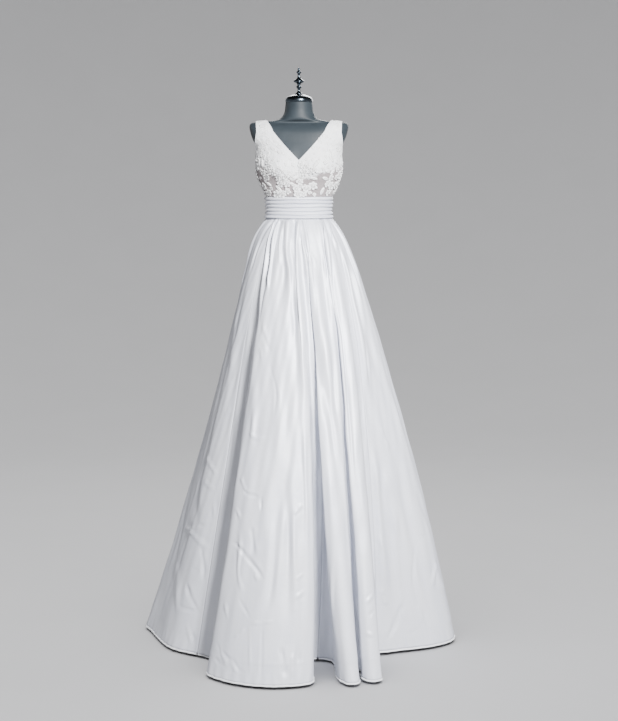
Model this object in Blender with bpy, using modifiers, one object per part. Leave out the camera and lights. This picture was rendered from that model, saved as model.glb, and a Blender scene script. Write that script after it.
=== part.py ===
"""A sleeveless A-line wedding dress on a limbless dress form with a round-base stand.

Metres, +Z up, the front faces -Y. The origin is the middle of the base's underside.
The form is one smooth torso. The dress is thin walls around it: a lace bodice with straps, a tucked
waistband, a full satin skirt in six gores whose folds deepen from waist to hem, and a hem binding.
"""

import math
import random

import bpy
import numpy as np
from mathutils import Vector
from mathutils.bvhtree import BVHTree

# Heights of the seams and edges
WAIST_Z = 1.410
BAND_HEIGHT = 0.070
BAND_TOP_Z = WAIST_Z + BAND_HEIGHT
HEM_Z = 0.0145
FRONT_V_Z = 1.595
BACK_V_Z = 1.560
ARMPIT_Z = 1.640
STRAP_TURN_Z = 1.688
SEAM_GAP = 0.0003

# Cloth
EASE = 0.0018
ARMHOLE_EASE = 0.0018
BODICE_WALL = 0.0016
BAND_WALL = 0.0014
SKIRT_WALL = 0.0015
BINDING_RADIUS = 0.0030

# Straps, measured across from the middle of the body
STRAP_INNER_X = 0.109
STRAP_OUTER_X = 0.138
ARMHOLE_X = 0.1355
NECK_TURN_X = 0.083

# How finely a bodice piece is gridded: columns across, then rows below the V, beside it up to the
# armpit, beside the armhole, and over the shoulder
BODICE_COLUMNS = 15
LOW_ROWS = 8
V_ROWS = 4
ARMHOLE_ROWS = 6
STRAP_ROWS = 5

# Waistband tucks
TUCKS = 6
TUCK_RISE = 0.0026

# Raised lace flowers on the bodice
FLOWER_RADIUS = 0.0125
FLOWER_RISE = 0.0024
FLOWER_PITCH = 0.023
PETALS = 5

# The skirt's plan: half width and half depth at the waist, then its flare down to the hem
WAIST_HALF_WIDTH = 0.1075
WAIST_HALF_DEPTH = 0.0825
HIP_SPRING = 0.032
HIP_SPRING_DROP = 0.050
SIDE_FLARE = 0.266
ROUND_BY = 0.45
HEM_RADIUS = 0.511
SKIRT_DROP = WAIST_Z - HEM_Z
BELLY_HEIGHT = 0.7
SHOULDER_DROP = 0.020
CROWN_SPREAD = 0.62
WAIST_VALLEY_HALF = 0.9
TURN_DROP = 0.090

# Stand
BASE_RADIUS = 0.175
BASE_THICKNESS = 0.010
HUB_RADIUS = 0.026
HUB_TOP_Z = 0.034
POLE_RADIUS = 0.0125
FLANGE_RADIUS = 0.040
FLANGE_THICKNESS = 0.006

# One row for each big fold, going round from the left side over the front to the back, in degrees from
# the front, positive to +X: the crown's place and half width at the waist and at the hem, its radius at
# the hem, then the valley after it: its place at the waist, and where its floor begins and ends at the hem.
# "settled" is the share of its turning done by the hip, "belly" how much it swings out midway down, and
# "deepens" the power by which it grows on its way down: over 1 it stays shallow until low in the skirt.
# "sway" is how far it drifts sideways midway, in degrees, and "crown_samples" how finely its crown is cut
FOLD_COLUMNS = (
    "name",
    "waist",
    "waist_half",
    "hem",
    "hem_half",
    "crown",
    "valley_waist",
    "floor_from",
    "floor_from_radius",
    "floor_to",
    "floor_to_radius",
    "settled",
    "belly",
    "deepens",
    "sway",
    "crown_samples",
)
FOLDS = (
    ("left_side", -86, 14, -105, 9, 0.533, -50, -72, 0.446, -42.5, 0.386, 0.95, -0.058, 0.8, 0, 3),
    ("front_panel", -23, 22, -16, 19.5, 0.509, 4, 9.0, 0.256, 17.5, 0.268, 0.80, 0.0, 1.5, 3.0, 6),
    ("pipe_one", 27, 15, 19.3, 3.0, 0.513, 47, 26.2, 0.405, 27.6, 0.405, 0.45, 0.0, 1.3, -2.5, 2),
    ("pipe_two", 55, 6, 27.6, 3.4, 0.516, 65, 44, 0.300, 60, 0.352, 0.40, 0.03, 1.1, -2.5, 2),
    ("right_side", 84, 12, 88, 9, 0.512, 103, 104, 0.455, 109, 0.452, 0.80, 0.076, 0.8, 0, 3),
    ("right_back", 118, 9, 122, 8, 0.530, 135, 137, 0.410, 141, 0.410, 0.80, 0.02, 0.9, 0, 2),
    ("back_right", 156, 13, 158, 9, 0.540, 180, 175, 0.430, 185, 0.430, 0.80, 0.0, 0.9, 1.5, 3),
    ("back_left", 204, 13, 200, 9, 0.540, 224, 213, 0.405, 217, 0.405, 0.80, 0.0, 0.9, -1.0, 3),
    ("left_back", 240, 9, 228, 7, 0.530, 256, 240, 0.450, 243, 0.450, 0.80, -0.035, 0.8, 0, 2),
)
# Soft gathers that run down from the waist seam. Places are counted round the skirt in fold points, six
# to a fold: a gather starts at one place at the waist and drifts to another where it fades out
GATHER_COLUMNS = ("name", "waist_place", "end_place", "end_drop", "depth", "half_width")
GATHERS = (
    ("left_pleat", 5.6, 6.1, 0.26, 0.0045, 0.30),
    ("left_front", 7.30, 7.15, 0.24, 0.0022, 0.14),
    ("mid_left", 7.80, 7.85, 0.34, 0.0030, 0.12),
    ("centre", 8.00, 8.75, 0.52, 0.0034, 0.14),
    ("mid_right", 9.60, 9.60, 0.42, 0.0030, 0.35),
    ("pipe_one_left", 12.40, 13.40, 0.36, 0.0025, 0.30),
    ("pipe_two_right", 20.60, 22.20, 0.22, 0.0025, 0.35),
    ("right_pleat", 24.50, 24.90, 0.28, 0.0035, 0.30),
    ("right_hip", 25.60, 25.50, 0.20, 0.0020, 0.30),
    ("right_back_pleat", 29.20, 29.00, 0.30, 0.0035, 0.30),
    ("back_right_gather", 37.40, 37.30, 0.32, 0.0030, 0.20),
    ("back_seam_gather", 41.70, 41.60, 0.36, 0.0030, 0.28),
    ("back_left_gather", 43.50, 43.60, 0.30, 0.0030, 0.20),
    ("left_back_pleat", 47.90, 47.80, 0.30, 0.0030, 0.28),
    ("left_hip", 1.50, 1.60, 0.22, 0.0022, 0.18),
)
# Each gore runs from the valley after one fold to the valley after another
GORES = (
    ("skirt_front", "left_side", "front_panel"),
    ("skirt_front_right", "front_panel", "pipe_two"),
    ("skirt_side_right", "pipe_two", "right_back"),
    ("skirt_back_right", "right_back", "back_right"),
    ("skirt_back_left", "back_right", "back_left"),
    ("skirt_side_left", "back_left", "left_side"),
)
SAMPLES_PER_STEP = 2
POINTS_PER_FOLD = 6
CROWN_STEP = 1
SEAM_STEP = 4.5
SKIRT_DROPS = (0.0, 0.018, 0.045, 0.085, 0.140, 0.230, 0.370, 0.550, 0.770, 1.000, 1.220)

# The form's level sections: height, half width, depth to the front and to the back, squareness
TORSO_COLUMNS = ("z", "half_width", "front", "back", "square")
TORSO = (
    (1.178, 0.120, 0.080, 0.096, 2.1),
    (1.186, 0.136, 0.092, 0.110, 2.1),
    (1.230, 0.146, 0.098, 0.120, 2.1),
    (1.300, 0.134, 0.094, 0.108, 2.1),
    (1.360, 0.114, 0.083, 0.088, 2.1),
    (1.410, 0.1020, 0.0770, 0.0770, 2.1),
    (1.445, 0.1005, 0.0765, 0.0750, 2.1),
    (1.480, 0.1040, 0.0800, 0.0770, 2.1),
    (1.520, 0.1215, 0.0870, 0.0830, 2.1),
    (1.560, 0.1335, 0.0930, 0.0890, 2.15),
    (1.590, 0.1365, 0.0950, 0.0930, 2.2),
    (1.620, 0.1350, 0.0910, 0.0950, 2.25),
    (1.640, 0.1365, 0.0850, 0.0930, 2.3),
    (1.656, 0.1460, 0.0790, 0.0905, 2.4),
    (1.672, 0.1530, 0.0730, 0.0860, 2.5),
    (1.688, 0.1575, 0.0660, 0.0790, 2.6),
    (1.702, 0.1600, 0.0560, 0.0670, 2.7),
    (1.711, 0.1590, 0.0460, 0.0550, 2.6),
    (1.7165, 0.1520, 0.0380, 0.0460, 2.5),
    (1.7205, 0.1200, 0.0390, 0.0470, 2.3),
    (1.7240, 0.0840, 0.0440, 0.0520, 2.1),
    (1.7290, 0.0640, 0.0470, 0.0530, 2.0),
    (1.7400, 0.0520, 0.0460, 0.0490, 2.0),
    (1.7580, 0.0455, 0.0430, 0.0440, 2.0),
    (1.7820, 0.0430, 0.0420, 0.0420, 2.0),
)
TORSO_COLUMNS_ROUND = 30
RING_PITCH = 0.030
CURVED_PITCH = 0.013
CURVED_FROM_Z = 1.510
CURVED_TO_Z = 1.690
BUST_X = 0.064
BUST_Z = 1.572
BUST_RISE = 0.022
BUST_SPREAD_X = 0.040
BUST_SPREAD_Z = 0.040
NECK_TOP_Z = 1.782

# Turned profiles of the neck cap and the finial: radius and height
CAP_PROFILE = ((0.0435, 1.7823), (0.0440, 1.7880), (0.0425, 1.7935), (0.0390, 1.7975), (0.0300, 1.8025),
               (0.0185, 1.8060), (0.0, 1.8066))
FINIAL_PROFILE = ((0.0, 1.8069), (0.0120, 1.8069), (0.0125, 1.8095), (0.0085, 1.8125), (0.0050, 1.8170),
                  (0.0045, 1.8240), (0.0085, 1.8290), (0.0090, 1.8320), (0.0050, 1.8370), (0.0080, 1.8420),
                  (0.0170, 1.8475), (0.0172, 1.8505), (0.0100, 1.8555), (0.0050, 1.8610), (0.0040, 1.8700),
                  (0.0075, 1.8755), (0.0082, 1.8785), (0.0040, 1.8820), (0.0042, 1.8870), (0.0030, 1.8905),
                  (0.0, 1.8930))


def clear_scene():
    for obj in list(bpy.data.objects):
        bpy.data.objects.remove(obj)


def make_material(name, colour, roughness, metallic=0.0):
    material = bpy.data.materials.new(name)
    material.use_nodes = True
    shader = material.node_tree.nodes["Principled BSDF"]
    shader.inputs["Base Color"].default_value = (*colour, 1.0)
    shader.inputs["Roughness"].default_value = roughness
    shader.inputs["Metallic"].default_value = metallic
    return material


def satin():
    return make_material("satin", (0.88, 0.89, 0.91), 0.42)


def lace():
    return make_material("lace", (0.86, 0.86, 0.86), 0.75)


def form_shell():
    return make_material("form_shell", (0.075, 0.095, 0.110), 0.50)


def polished_metal():
    return make_material("polished_metal", (0.20, 0.23, 0.26), 0.22, 1.0)


def stand_paint():
    return make_material("stand_paint", (0.03, 0.03, 0.035), 0.45, 0.4)


def smoothly(at, places, values):
    """Value at one place along a table, on a cubic that keeps each stretch within its two rows."""
    places = np.asarray(places, float)
    values = np.asarray(values, float)
    steps = np.diff(places)
    slopes = np.diff(values) / steps
    tangents = np.zeros_like(values)
    same_way = slopes[:-1] * slopes[1:] > 0
    mean = 2 * slopes[:-1] * slopes[1:] / np.where(same_way, slopes[:-1] + slopes[1:], 1.0)
    tangents[1:-1] = np.where(same_way, mean, 0.0)
    tangents[0], tangents[-1] = slopes[0], slopes[-1]
    i = int(np.clip(np.searchsorted(places, at) - 1, 0, len(steps) - 1))
    t = (at - places[i]) / steps[i]
    return (
        (1 + 2 * t) * (1 - t) ** 2 * values[i]
        + t * (1 - t) ** 2 * steps[i] * tangents[i]
        + t * t * (3 - 2 * t) * values[i + 1]
        + t * t * (t - 1) * steps[i] * tangents[i + 1]
    )


def smoothstep(t):
    t = min(max(t, 0.0), 1.0)
    return t * t * (3 - 2 * t)


def torso_point(turn, z):
    """Point of the form at an angle from the front, in radians, and a height."""
    columns = dict(zip(TORSO_COLUMNS, zip(*TORSO)))
    sizes = {name: smoothly(z, columns["z"], columns[name]) for name in TORSO_COLUMNS[1:]}
    power = 2 / sizes["square"]
    sine, cosine = math.sin(turn), math.cos(turn)
    x = sizes["half_width"] * math.copysign(abs(sine) ** power, sine)
    depth = sizes["front"] if cosine > 0 else sizes["back"]
    y = -depth * math.copysign(abs(cosine) ** power, cosine)
    if cosine > 0:
        across = (abs(x) - BUST_X) / BUST_SPREAD_X
        up = (z - BUST_Z) / BUST_SPREAD_Z
        y -= BUST_RISE * math.exp(-across * across - up * up) * min(1.0, 2 * cosine)
    return Vector((x, y, z))


def torso_rings():
    """Rows of points up the form, close together where it curves."""
    heights = []
    table = [row[0] for row in TORSO]
    for low, high in zip(table, table[1:]):
        curved = CURVED_FROM_Z < (low + high) / 2 < CURVED_TO_Z
        parts = max(1, round((high - low) / (CURVED_PITCH if curved else RING_PITCH)))
        heights += [low + (high - low) * k / parts for k in range(parts)]
    heights.append(table[-1])
    turns = [2 * math.pi * k / TORSO_COLUMNS_ROUND for k in range(TORSO_COLUMNS_ROUND)]
    return [[torso_point(turn, z) for turn in turns] for z in heights]


def ring_mesh(rings):
    """Vertices and faces of a closed stack of rings with flat ends."""
    count = len(rings[0])
    points = [point for ring in rings for point in ring]
    faces = []
    for row in range(len(rings) - 1):
        for k in range(count):
            a, b = row * count + k, row * count + (k + 1) % count
            faces.append((a, b, b + count, a + count))
    faces.append(tuple(reversed(range(count))))
    faces.append(tuple(range((len(rings) - 1) * count, len(rings) * count)))
    return points, faces


def add_mesh(name, points, faces, material, collection, smooth=True):
    mesh = bpy.data.meshes.new(name)
    mesh.from_pydata([tuple(point) for point in points], [], faces)
    mesh.validate()
    if smooth:
        mesh.shade_smooth()
        mesh.set_sharp_from_angle(angle=math.radians(50))
    mesh.materials.append(material)
    obj = bpy.data.objects.new(name, mesh)
    collection.objects.link(obj)
    return obj


def add_turned(name, profile, material, collection, steps=24):
    """A profile of (radius, height) rows, listed bottom to top, turned about the Z axis."""
    mesh = bpy.data.meshes.new(name)
    rows = [(radius, 0.0, z) for radius, z in reversed(profile)]
    mesh.from_pydata(rows, [(k, k + 1) for k in range(len(rows) - 1)], [])
    mesh.materials.append(material)
    obj = bpy.data.objects.new(name, mesh)
    collection.objects.link(obj)
    screw = obj.modifiers.new("turn", "SCREW")
    screw.steps = screw.render_steps = steps
    screw.use_merge_vertices = True
    screw.merge_threshold = 0.00005
    screw.use_smooth_shade = True
    return obj


def grown_torso(clearance):
    """A ray target: the form's surface moved out by a clearance."""
    turns = 96
    heights = np.linspace(TORSO[0][0], TORSO[-1][0], 240)
    rings = [[torso_point(2 * math.pi * k / turns, z) for k in range(turns)] for z in heights]
    points, faces = ring_mesh(rings)
    mesh = bpy.data.meshes.new("torso_target")
    mesh.from_pydata([tuple(point) for point in points], [], faces)
    mesh.update()
    moved = [vertex.co + vertex.normal * clearance for vertex in mesh.vertices]
    bpy.data.meshes.remove(mesh)
    return BVHTree.FromPolygons(moved, faces)


class BodyRay:
    """A line from inside the form to its skin, which places one point of a garment edge or panel."""

    def __init__(self, across, turn, z, climb, facing):
        self.start = Vector((across, 0.0, z))
        level = Vector((math.sin(turn), -math.cos(turn) * facing, 0.0))
        self.way = level * math.cos(climb) + Vector((0.0, 0.0, 1.0)) * math.sin(climb)

    def meet(self, target):
        hit = target.ray_cast(self.start, self.way)[0]
        if hit is None:
            raise ValueError(f"no skin from {self.start} towards {self.way}")
        return hit


def neckline_x(z, v_z):
    """Half width of the V neck at a height."""
    if z <= v_z:
        return 0.0
    share = (z - v_z) / (STRAP_TURN_Z - v_z)
    return NECK_TURN_X * share * (1.12 - 0.12 * share)


def armhole_ray(z, facing):
    """Start and angle of the level ray that ends a row: straight sideways, or to the armhole's edge."""
    columns = dict(zip(TORSO_COLUMNS, zip(*TORSO)))
    half_width = smoothly(z, columns["z"], columns["half_width"])
    if half_width <= ARMHOLE_X or z <= ARMPIT_Z - 0.012:
        return 0.0, math.radians(89.9)
    power = smoothly(z, columns["z"], columns["square"]) / 2
    turn = math.asin((ARMHOLE_X / half_width) ** power)
    depth = abs(torso_point(turn if facing > 0 else math.pi - turn, z).y)
    start = ARMHOLE_X * smoothstep((z - ARMPIT_Z) / (STRAP_TURN_Z - ARMPIT_Z))
    return start, math.atan2(ARMHOLE_X - start, depth)


def bodice_rows(v_z, facing, side):
    """Rays for one quarter of the bodice, from the waistband up to the shoulder seam."""
    low = BAND_TOP_Z + SEAM_GAP
    heights = list(np.linspace(low, v_z, LOW_ROWS, endpoint=False))
    heights += list(np.linspace(v_z, ARMPIT_Z, V_ROWS, endpoint=False))
    heights += list(np.linspace(ARMPIT_Z, STRAP_TURN_Z, ARMHOLE_ROWS))
    steps = [(z, 0.0) for z in heights]
    seam = math.radians(88.6)
    steps += [(STRAP_TURN_Z, seam * k / STRAP_ROWS) for k in range(1, STRAP_ROWS + 1)]
    rows = []
    for z, climb in steps:
        inner = neckline_x(z, v_z) + (STRAP_INNER_X - NECK_TURN_X) * math.sin(climb)
        inner = max(inner, SEAM_GAP / 2)
        outer, outer_turn = armhole_ray(z, facing)
        outer += (STRAP_OUTER_X - ARMHOLE_X) * math.sin(climb)
        rows.append((inner, outer, outer_turn, z, climb))
    return [
        lambda share, row=row: BodyRay(
            side * (row[0] + (row[1] - row[0]) * share), side * row[2] * share, row[3], row[4], facing
        )
        for row in rows
    ]


def flower_places(seed, rows, target):
    """Centres of the raised flowers on one quarter, scattered at an even pitch by a fixed seed."""
    chance = random.Random(seed)
    kept = []
    for _ in range(900):
        row = rows[int(chance.random() ** 0.85 * (len(rows) - 6))]
        place = row(chance.uniform(0.04, 0.96)).meet(target)
        if all((place - other).length > FLOWER_PITCH for other, _ in kept):
            kept.append((place, chance.uniform(0, 2 * math.pi)))
    return kept


def flower_rise(point, flowers):
    """How far the lace stands out at a point: the petals of the flowers that cover it."""
    rise = 0.0
    for centre, spin in flowers:
        away = point - centre
        reach = away.length
        if reach < FLOWER_RADIUS * 1.3:
            around = math.atan2(away.z, away.x)
            petal = FLOWER_RADIUS * (1.0 + 0.28 * math.cos(PETALS * around + spin))
            rise = max(rise, FLOWER_RISE * smoothstep(1.6 * (1 - reach / petal)))
    return rise


def sheet_faces(rows, across, first):
    """Faces of a grid whose points are numbered from "first", row by row."""
    faces = []
    for row in range(rows - 1):
        for k in range(across - 1):
            a = first + row * across + k
            faces.append((a, a + 1, a + 1 + across, a + across))
    return faces


def wall(name, outer, inner, over, material, collection):
    """A closed cloth wall between an outer and an inner grid with the same columns. The inner grid has a
    row behind each outer row that "over" numbers."""
    across = len(outer[0])
    points = [point for row in outer for point in row] + [point for row in inner for point in row]
    first = len(outer) * across
    faces = sheet_faces(len(outer), across, 0)
    faces += [tuple(reversed(face)) for face in sheet_faces(len(inner), across, first)]
    top_out, top_in = (len(outer) - 1) * across, first + (len(inner) - 1) * across
    for k in range(across - 1):
        faces.append((k, first + k, first + k + 1, k + 1))
        faces.append((top_out + k, top_out + k + 1, top_in + k + 1, top_in + k))
    for k in (0, across - 1):
        for row in range(len(over) - 1):
            rim = [number * across + k for number in range(over[row], over[row + 1] + 1)]
            rim += [first + (row + 1) * across + k, first + row * across + k]
            faces.append(tuple(rim if k == 0 else reversed(rim)))
    return add_mesh(name, points, faces, material, collection)


def quarter(name, rows, targets, flowers, material, collection, turned):
    """One bodice piece: rays meet the inner and the outer target, and flowers raise the outer points."""
    across = BODICE_COLUMNS
    inner_target, outer_target = targets
    shares = [k / (across - 1) for k in range(across)]
    if turned:
        shares = shares[::-1]
    outer, inner, over = [], [], []
    for number, row in enumerate(rows):
        plain, raised = [], []
        for share in shares:
            ray = row(share)
            stand_off = ray.way * ARMHOLE_EASE * share * math.exp(-(((ray.start.z - ARMPIT_Z - 0.014) / 0.022) ** 2))
            plain.append(ray.meet(inner_target) + stand_off)
            point = ray.meet(outer_target)
            inside = min(share, 1 - share) > 0.001
            rise = flower_rise(point, flowers) if inside else 0.0
            raised.append(point + stand_off + ray.way * rise)
        outer.append(raised)
        if number % 2 == 0 or number > LOW_ROWS // 2:
            inner.append(plain)
            over.append(number)
    return wall(name, outer, inner, over, material, collection)


def build_bodice(collection):
    """Four lace pieces that meet at the centre front, centre back, sides and shoulders."""
    inner_target = grown_torso(EASE)
    outer_target = grown_torso(EASE + BODICE_WALL)
    material = lace()
    for name, v_z, facing, side, seed in (
        ("bodice_front_right", FRONT_V_Z, 1, 1, 3),
        ("bodice_front_left", FRONT_V_Z, 1, -1, 5),
        ("bodice_back_right", BACK_V_Z, -1, 1, 7),
        ("bodice_back_left", BACK_V_Z, -1, -1, 11),
    ):
        rows = bodice_rows(v_z, facing, side)
        flowers = flower_places(seed, rows, outer_target)
        targets = (inner_target, outer_target)
        quarter(name, rows, targets, flowers, material, collection, facing * side < 0)


def tuck_profile():
    """Up the waistband: share of its height, and how far each tuck's rounded roll stands out."""
    rows = [(0.0, 0.25)]
    for k in range(TUCKS):
        for part, rise in ((0.22, 1.0), (0.62, 0.92), (1.0, 0.0)):
            rows.append(((k + part) / TUCKS, rise))
    rows[-1] = (1.0, 0.25)
    return rows


def build_waistband(collection):
    """A tucked band in three pieces: the front, and two backs that close at the centre back."""
    inner_target = grown_torso(EASE)
    outer_target = grown_torso(EASE + BAND_WALL)
    material = satin()
    gap = math.degrees(SEAM_GAP / 2 / WAIST_HALF_DEPTH)
    for name, start, end, across in (
        ("waistband_front", -90 + gap, 90 - gap, 17),
        ("waistband_back_right", 90 + gap, 180 - gap, 9),
        ("waistband_back_left", 180 + gap, 270 - gap, 9),
    ):
        turns = np.radians(np.linspace(start, end, across))
        outer = []
        for share, rise in tuck_profile():
            z = WAIST_Z + BAND_HEIGHT * share
            rays = [BodyRay(0.0, turn, z, 0.0, 1) for turn in turns]
            outer.append([ray.meet(outer_target) + ray.way * TUCK_RISE * rise for ray in rays])
        over = [0, len(outer) // 3, 2 * (len(outer) // 3), len(outer) - 1]
        heights = [WAIST_Z + BAND_HEIGHT * tuck_profile()[number][0] for number in over]
        inner = [[BodyRay(0.0, turn, z, 0.0, 1).meet(inner_target) for turn in turns] for z in heights]
        wall(name, outer, inner, over, material, collection)


def flare(drop):
    """Half width and half depth of the skirt's plan at a drop below the waist."""
    spring = HIP_SPRING * (1 - math.exp(-drop / HIP_SPRING_DROP))
    half_width = WAIST_HALF_WIDTH + spring + SIDE_FLARE * drop
    flatness = WAIST_HALF_DEPTH / WAIST_HALF_WIDTH
    half_depth = half_width * (flatness + (1 - flatness) * smoothstep(drop / ROUND_BY))
    return half_width, half_depth


def fold_points(fold, drop):
    """Six plan points of one fold at a drop: left shoulder, two of the crown, right shoulder, valley floor."""
    row = dict(zip(FOLD_COLUMNS, fold))
    share = drop / SKIRT_DROP
    turned = row["settled"] * (1 - math.exp(-drop / TURN_DROP)) + (1 - row["settled"]) * share
    growth = share ** row["deepens"]
    sway = row["sway"] * 4 * share * (1 - share)
    centre = row["waist"] + (row["hem"] - row["waist"]) * turned
    half = row["waist_half"] + (row["hem_half"] - row["waist_half"]) * turned
    floor_from = row["valley_waist"] - WAIST_VALLEY_HALF
    floor_from += (row["floor_from"] - floor_from) * turned
    floor_to = row["valley_waist"] + WAIST_VALLEY_HALF
    floor_to += (row["floor_to"] - floor_to) * turned
    shoulder = row["crown"] - SHOULDER_DROP
    places = (
        (centre - half, shoulder),
        (centre - half * CROWN_SPREAD, row["crown"]),
        (centre + half * CROWN_SPREAD, row["crown"]),
        (centre + half, shoulder),
        (floor_from, row["floor_from_radius"]),
        (floor_to, row["floor_to_radius"]),
    )
    half_width, half_depth = flare(drop)
    points = []
    for degrees, hem_radius in places:
        turn = math.radians(degrees + sway)
        plain = 1 / math.hypot(math.sin(turn) / half_width, math.cos(turn) / half_depth)
        midway = share**BELLY_HEIGHT
        belly = 1 + row["belly"] * 4 * midway * (1 - midway)
        radius = plain * (1 - (1 - hem_radius / HEM_RADIUS) * growth) * belly
        points.append((radius * math.sin(turn), -radius * math.cos(turn)))
    return points


def ring_places():
    """Where the skirt is cut into columns, counted in fold points round it."""
    places = []
    for number, fold in enumerate(FOLDS):
        for step in range(POINTS_PER_FOLD):
            samples = fold[-1] if step == CROWN_STEP else SAMPLES_PER_STEP
            places += [number * POINTS_PER_FOLD + step + k / samples for k in range(samples)]
    return np.array(places)


def closed_curve(points, places):
    """Points on a smooth closed curve through the given ones, with tangents weighed by chord length."""
    points = np.asarray(points, float)
    chords = np.roll(points, -1, 0) - points
    lengths = np.linalg.norm(chords, axis=1)[:, None]
    slopes = chords / lengths
    before, before_length = np.roll(slopes, 1, 0), np.roll(lengths, 1, 0)
    tangents = (before * lengths + slopes * before_length) / (lengths + before_length)
    start = np.floor(places).astype(int)
    end = (start + 1) % len(points)
    t = (places - start)[:, None]
    return (
        (1 + 2 * t) * (1 - t) ** 2 * points[start]
        + t * (1 - t) ** 2 * lengths[start] * tangents[start]
        + t * t * (3 - 2 * t) * points[end]
        + t * t * (t - 1) * lengths[start] * tangents[end]
    )


def gathered_in(places, drop):
    """How far the gathers draw each place in at a drop below the waist."""
    depth = np.zeros(len(places))
    for gather in GATHERS:
        row = dict(zip(GATHER_COLUMNS, gather))
        share = drop / row["end_drop"]
        if share >= 1:
            continue
        middle = row["waist_place"] + (row["end_place"] - row["waist_place"]) * share
        fade = min(1.0, 6 * share + 0.25) * (1 - share * share)
        depth += row["depth"] * fade * np.exp(-(((places - middle) / row["half_width"]) ** 2))
    return depth


def skirt_ring(drop):
    """The skirt's whole outer plan curve at a drop below the waist."""
    points = [point for fold in FOLDS for point in fold_points(fold, drop)]
    places = ring_places()
    ring = closed_curve(points, places)
    outward = ring / np.linalg.norm(ring, axis=1)[:, None]
    return ring - outward * gathered_in(places, drop)[:, None]


def gore_columns(after, until):
    """Numbers of the ring points from the middle of one valley floor to the middle of another."""
    names = [fold[0] for fold in FOLDS]
    places = ring_places()
    seams = [names.index(name) * POINTS_PER_FOLD + SEAM_STEP for name in (after, until)]
    start, end = (int(np.argmin(abs(places - seam))) for seam in seams)
    return [(start + k) % len(places) for k in range((end - start) % len(places) + 1)]


def pulled_apart(line, gap):
    """A row of points whose two ends are drawn in by half a seam gap each."""
    line = [Vector(point) for point in line]
    line[0] += (line[1] - line[0]).normalized() * gap / 2
    line[-1] += (line[-2] - line[-1]).normalized() * gap / 2
    return line


def build_skirt(collection):
    """Six gores, sewn to each other in the valleys and hanging from the waist seam to the hem."""
    material = satin()
    drops = [*SKIRT_DROPS, SKIRT_DROP]
    rings = [skirt_ring(drop) for drop in drops]
    for name, after, until in GORES:
        columns = gore_columns(after, until)
        rows = []
        for drop, ring in zip(drops, rings):
            z = WAIST_Z - SEAM_GAP - drop * (1 - SEAM_GAP / SKIRT_DROP)
            rows.append(pulled_apart([(*ring[k], z) for k in columns], SEAM_GAP * 1.5))
        points = [point for row in reversed(rows) for point in row]
        faces = sheet_faces(len(rows), len(columns), 0)
        gore = add_mesh(name, points, faces, material, collection)
        solidify = gore.modifiers.new("cloth", "SOLIDIFY")
        solidify.thickness = SKIRT_WALL
        solidify.offset = -1
        solidify.use_even_offset = True


def build_hem(collection):
    """A round binding under each gore's lower edge, a tube that follows the hem's plan curve."""
    material = satin()
    ring = skirt_ring(SKIRT_DROP)
    z = HEM_Z - SEAM_GAP - BINDING_RADIUS
    for name, after, until in GORES:
        line = [(*ring[k], z) for k in gore_columns(after, until)]
        line = pulled_apart(line, SEAM_GAP * 2 + BINDING_RADIUS)
        curve = bpy.data.curves.new(name.replace("skirt", "hem"), "CURVE")
        curve.dimensions = "3D"
        curve.bevel_depth = BINDING_RADIUS
        curve.bevel_resolution = 1
        curve.use_fill_caps = True
        spline = curve.splines.new("POLY")
        spline.points.add(len(line) - 1)
        for point, place in zip(spline.points, line):
            point.co = (*place, 1.0)
        curve.materials.append(material)
        collection.objects.link(bpy.data.objects.new(curve.name, curve))


def build_form(collection):
    """The limbless torso, its neck cap and finial, and the stand: flange, pole and base."""
    shell, metal, paint = form_shell(), polished_metal(), stand_paint()
    points, faces = ring_mesh(torso_rings())
    add_mesh("form_torso", points, faces, shell, collection)
    add_turned("neck_cap", ((0.0, CAP_PROFILE[0][1]), *CAP_PROFILE), metal, collection)
    add_turned("finial", FINIAL_PROFILE, metal, collection, steps=16)
    flange_top = TORSO[0][0] - SEAM_GAP
    flange_low = flange_top - FLANGE_THICKNESS
    add_turned(
        "stand_flange",
        ((0.0, flange_low), (FLANGE_RADIUS - 0.001, flange_low), (FLANGE_RADIUS, flange_low + 0.001),
         (FLANGE_RADIUS, flange_top), (0.0, flange_top)),
        paint, collection,
    )
    pole_low, pole_top = HUB_TOP_Z + SEAM_GAP, flange_low - SEAM_GAP
    add_turned(
        "stand_pole",
        ((0.0, pole_low), (POLE_RADIUS, pole_low), (POLE_RADIUS, pole_top), (0.0, pole_top)),
        paint, collection, steps=16,
    )
    edge = 0.003
    add_turned(
        "stand_base",
        ((0.0, 0.0), (BASE_RADIUS - edge, 0.0), (BASE_RADIUS, edge), (BASE_RADIUS, BASE_THICKNESS - edge),
         (BASE_RADIUS - edge, BASE_THICKNESS), (HUB_RADIUS + 0.006, BASE_THICKNESS + 0.002),
         (HUB_RADIUS, BASE_THICKNESS + 0.006), (HUB_RADIUS - 0.004, HUB_TOP_Z), (0.0, HUB_TOP_Z)),
        paint, collection, steps=32,
    )


def main():
    clear_scene()
    collection = bpy.data.collections.new("wedding_dress_on_form")
    bpy.context.scene.collection.children.link(collection)
    build_form(collection)
    build_bodice(collection)
    build_waistband(collection)
    build_skirt(collection)
    build_hem(collection)


main()
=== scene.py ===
"""Looks of a sleeveless satin and lace wedding dress on a limbless dress form.

Metres, +Z up, the front faces -Y. Laid out as an add-on and run as a script: main() calls one operator
for each group of pieces. Places round the skirt are counted in fold points, six to a fold, as in the CAD.
"""

import math
import random

import bpy
import numpy as np
from bpy.props import FloatProperty, FloatVectorProperty, IntProperty, PointerProperty
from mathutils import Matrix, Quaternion, Vector
from mathutils.bvhtree import BVHTree


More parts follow.
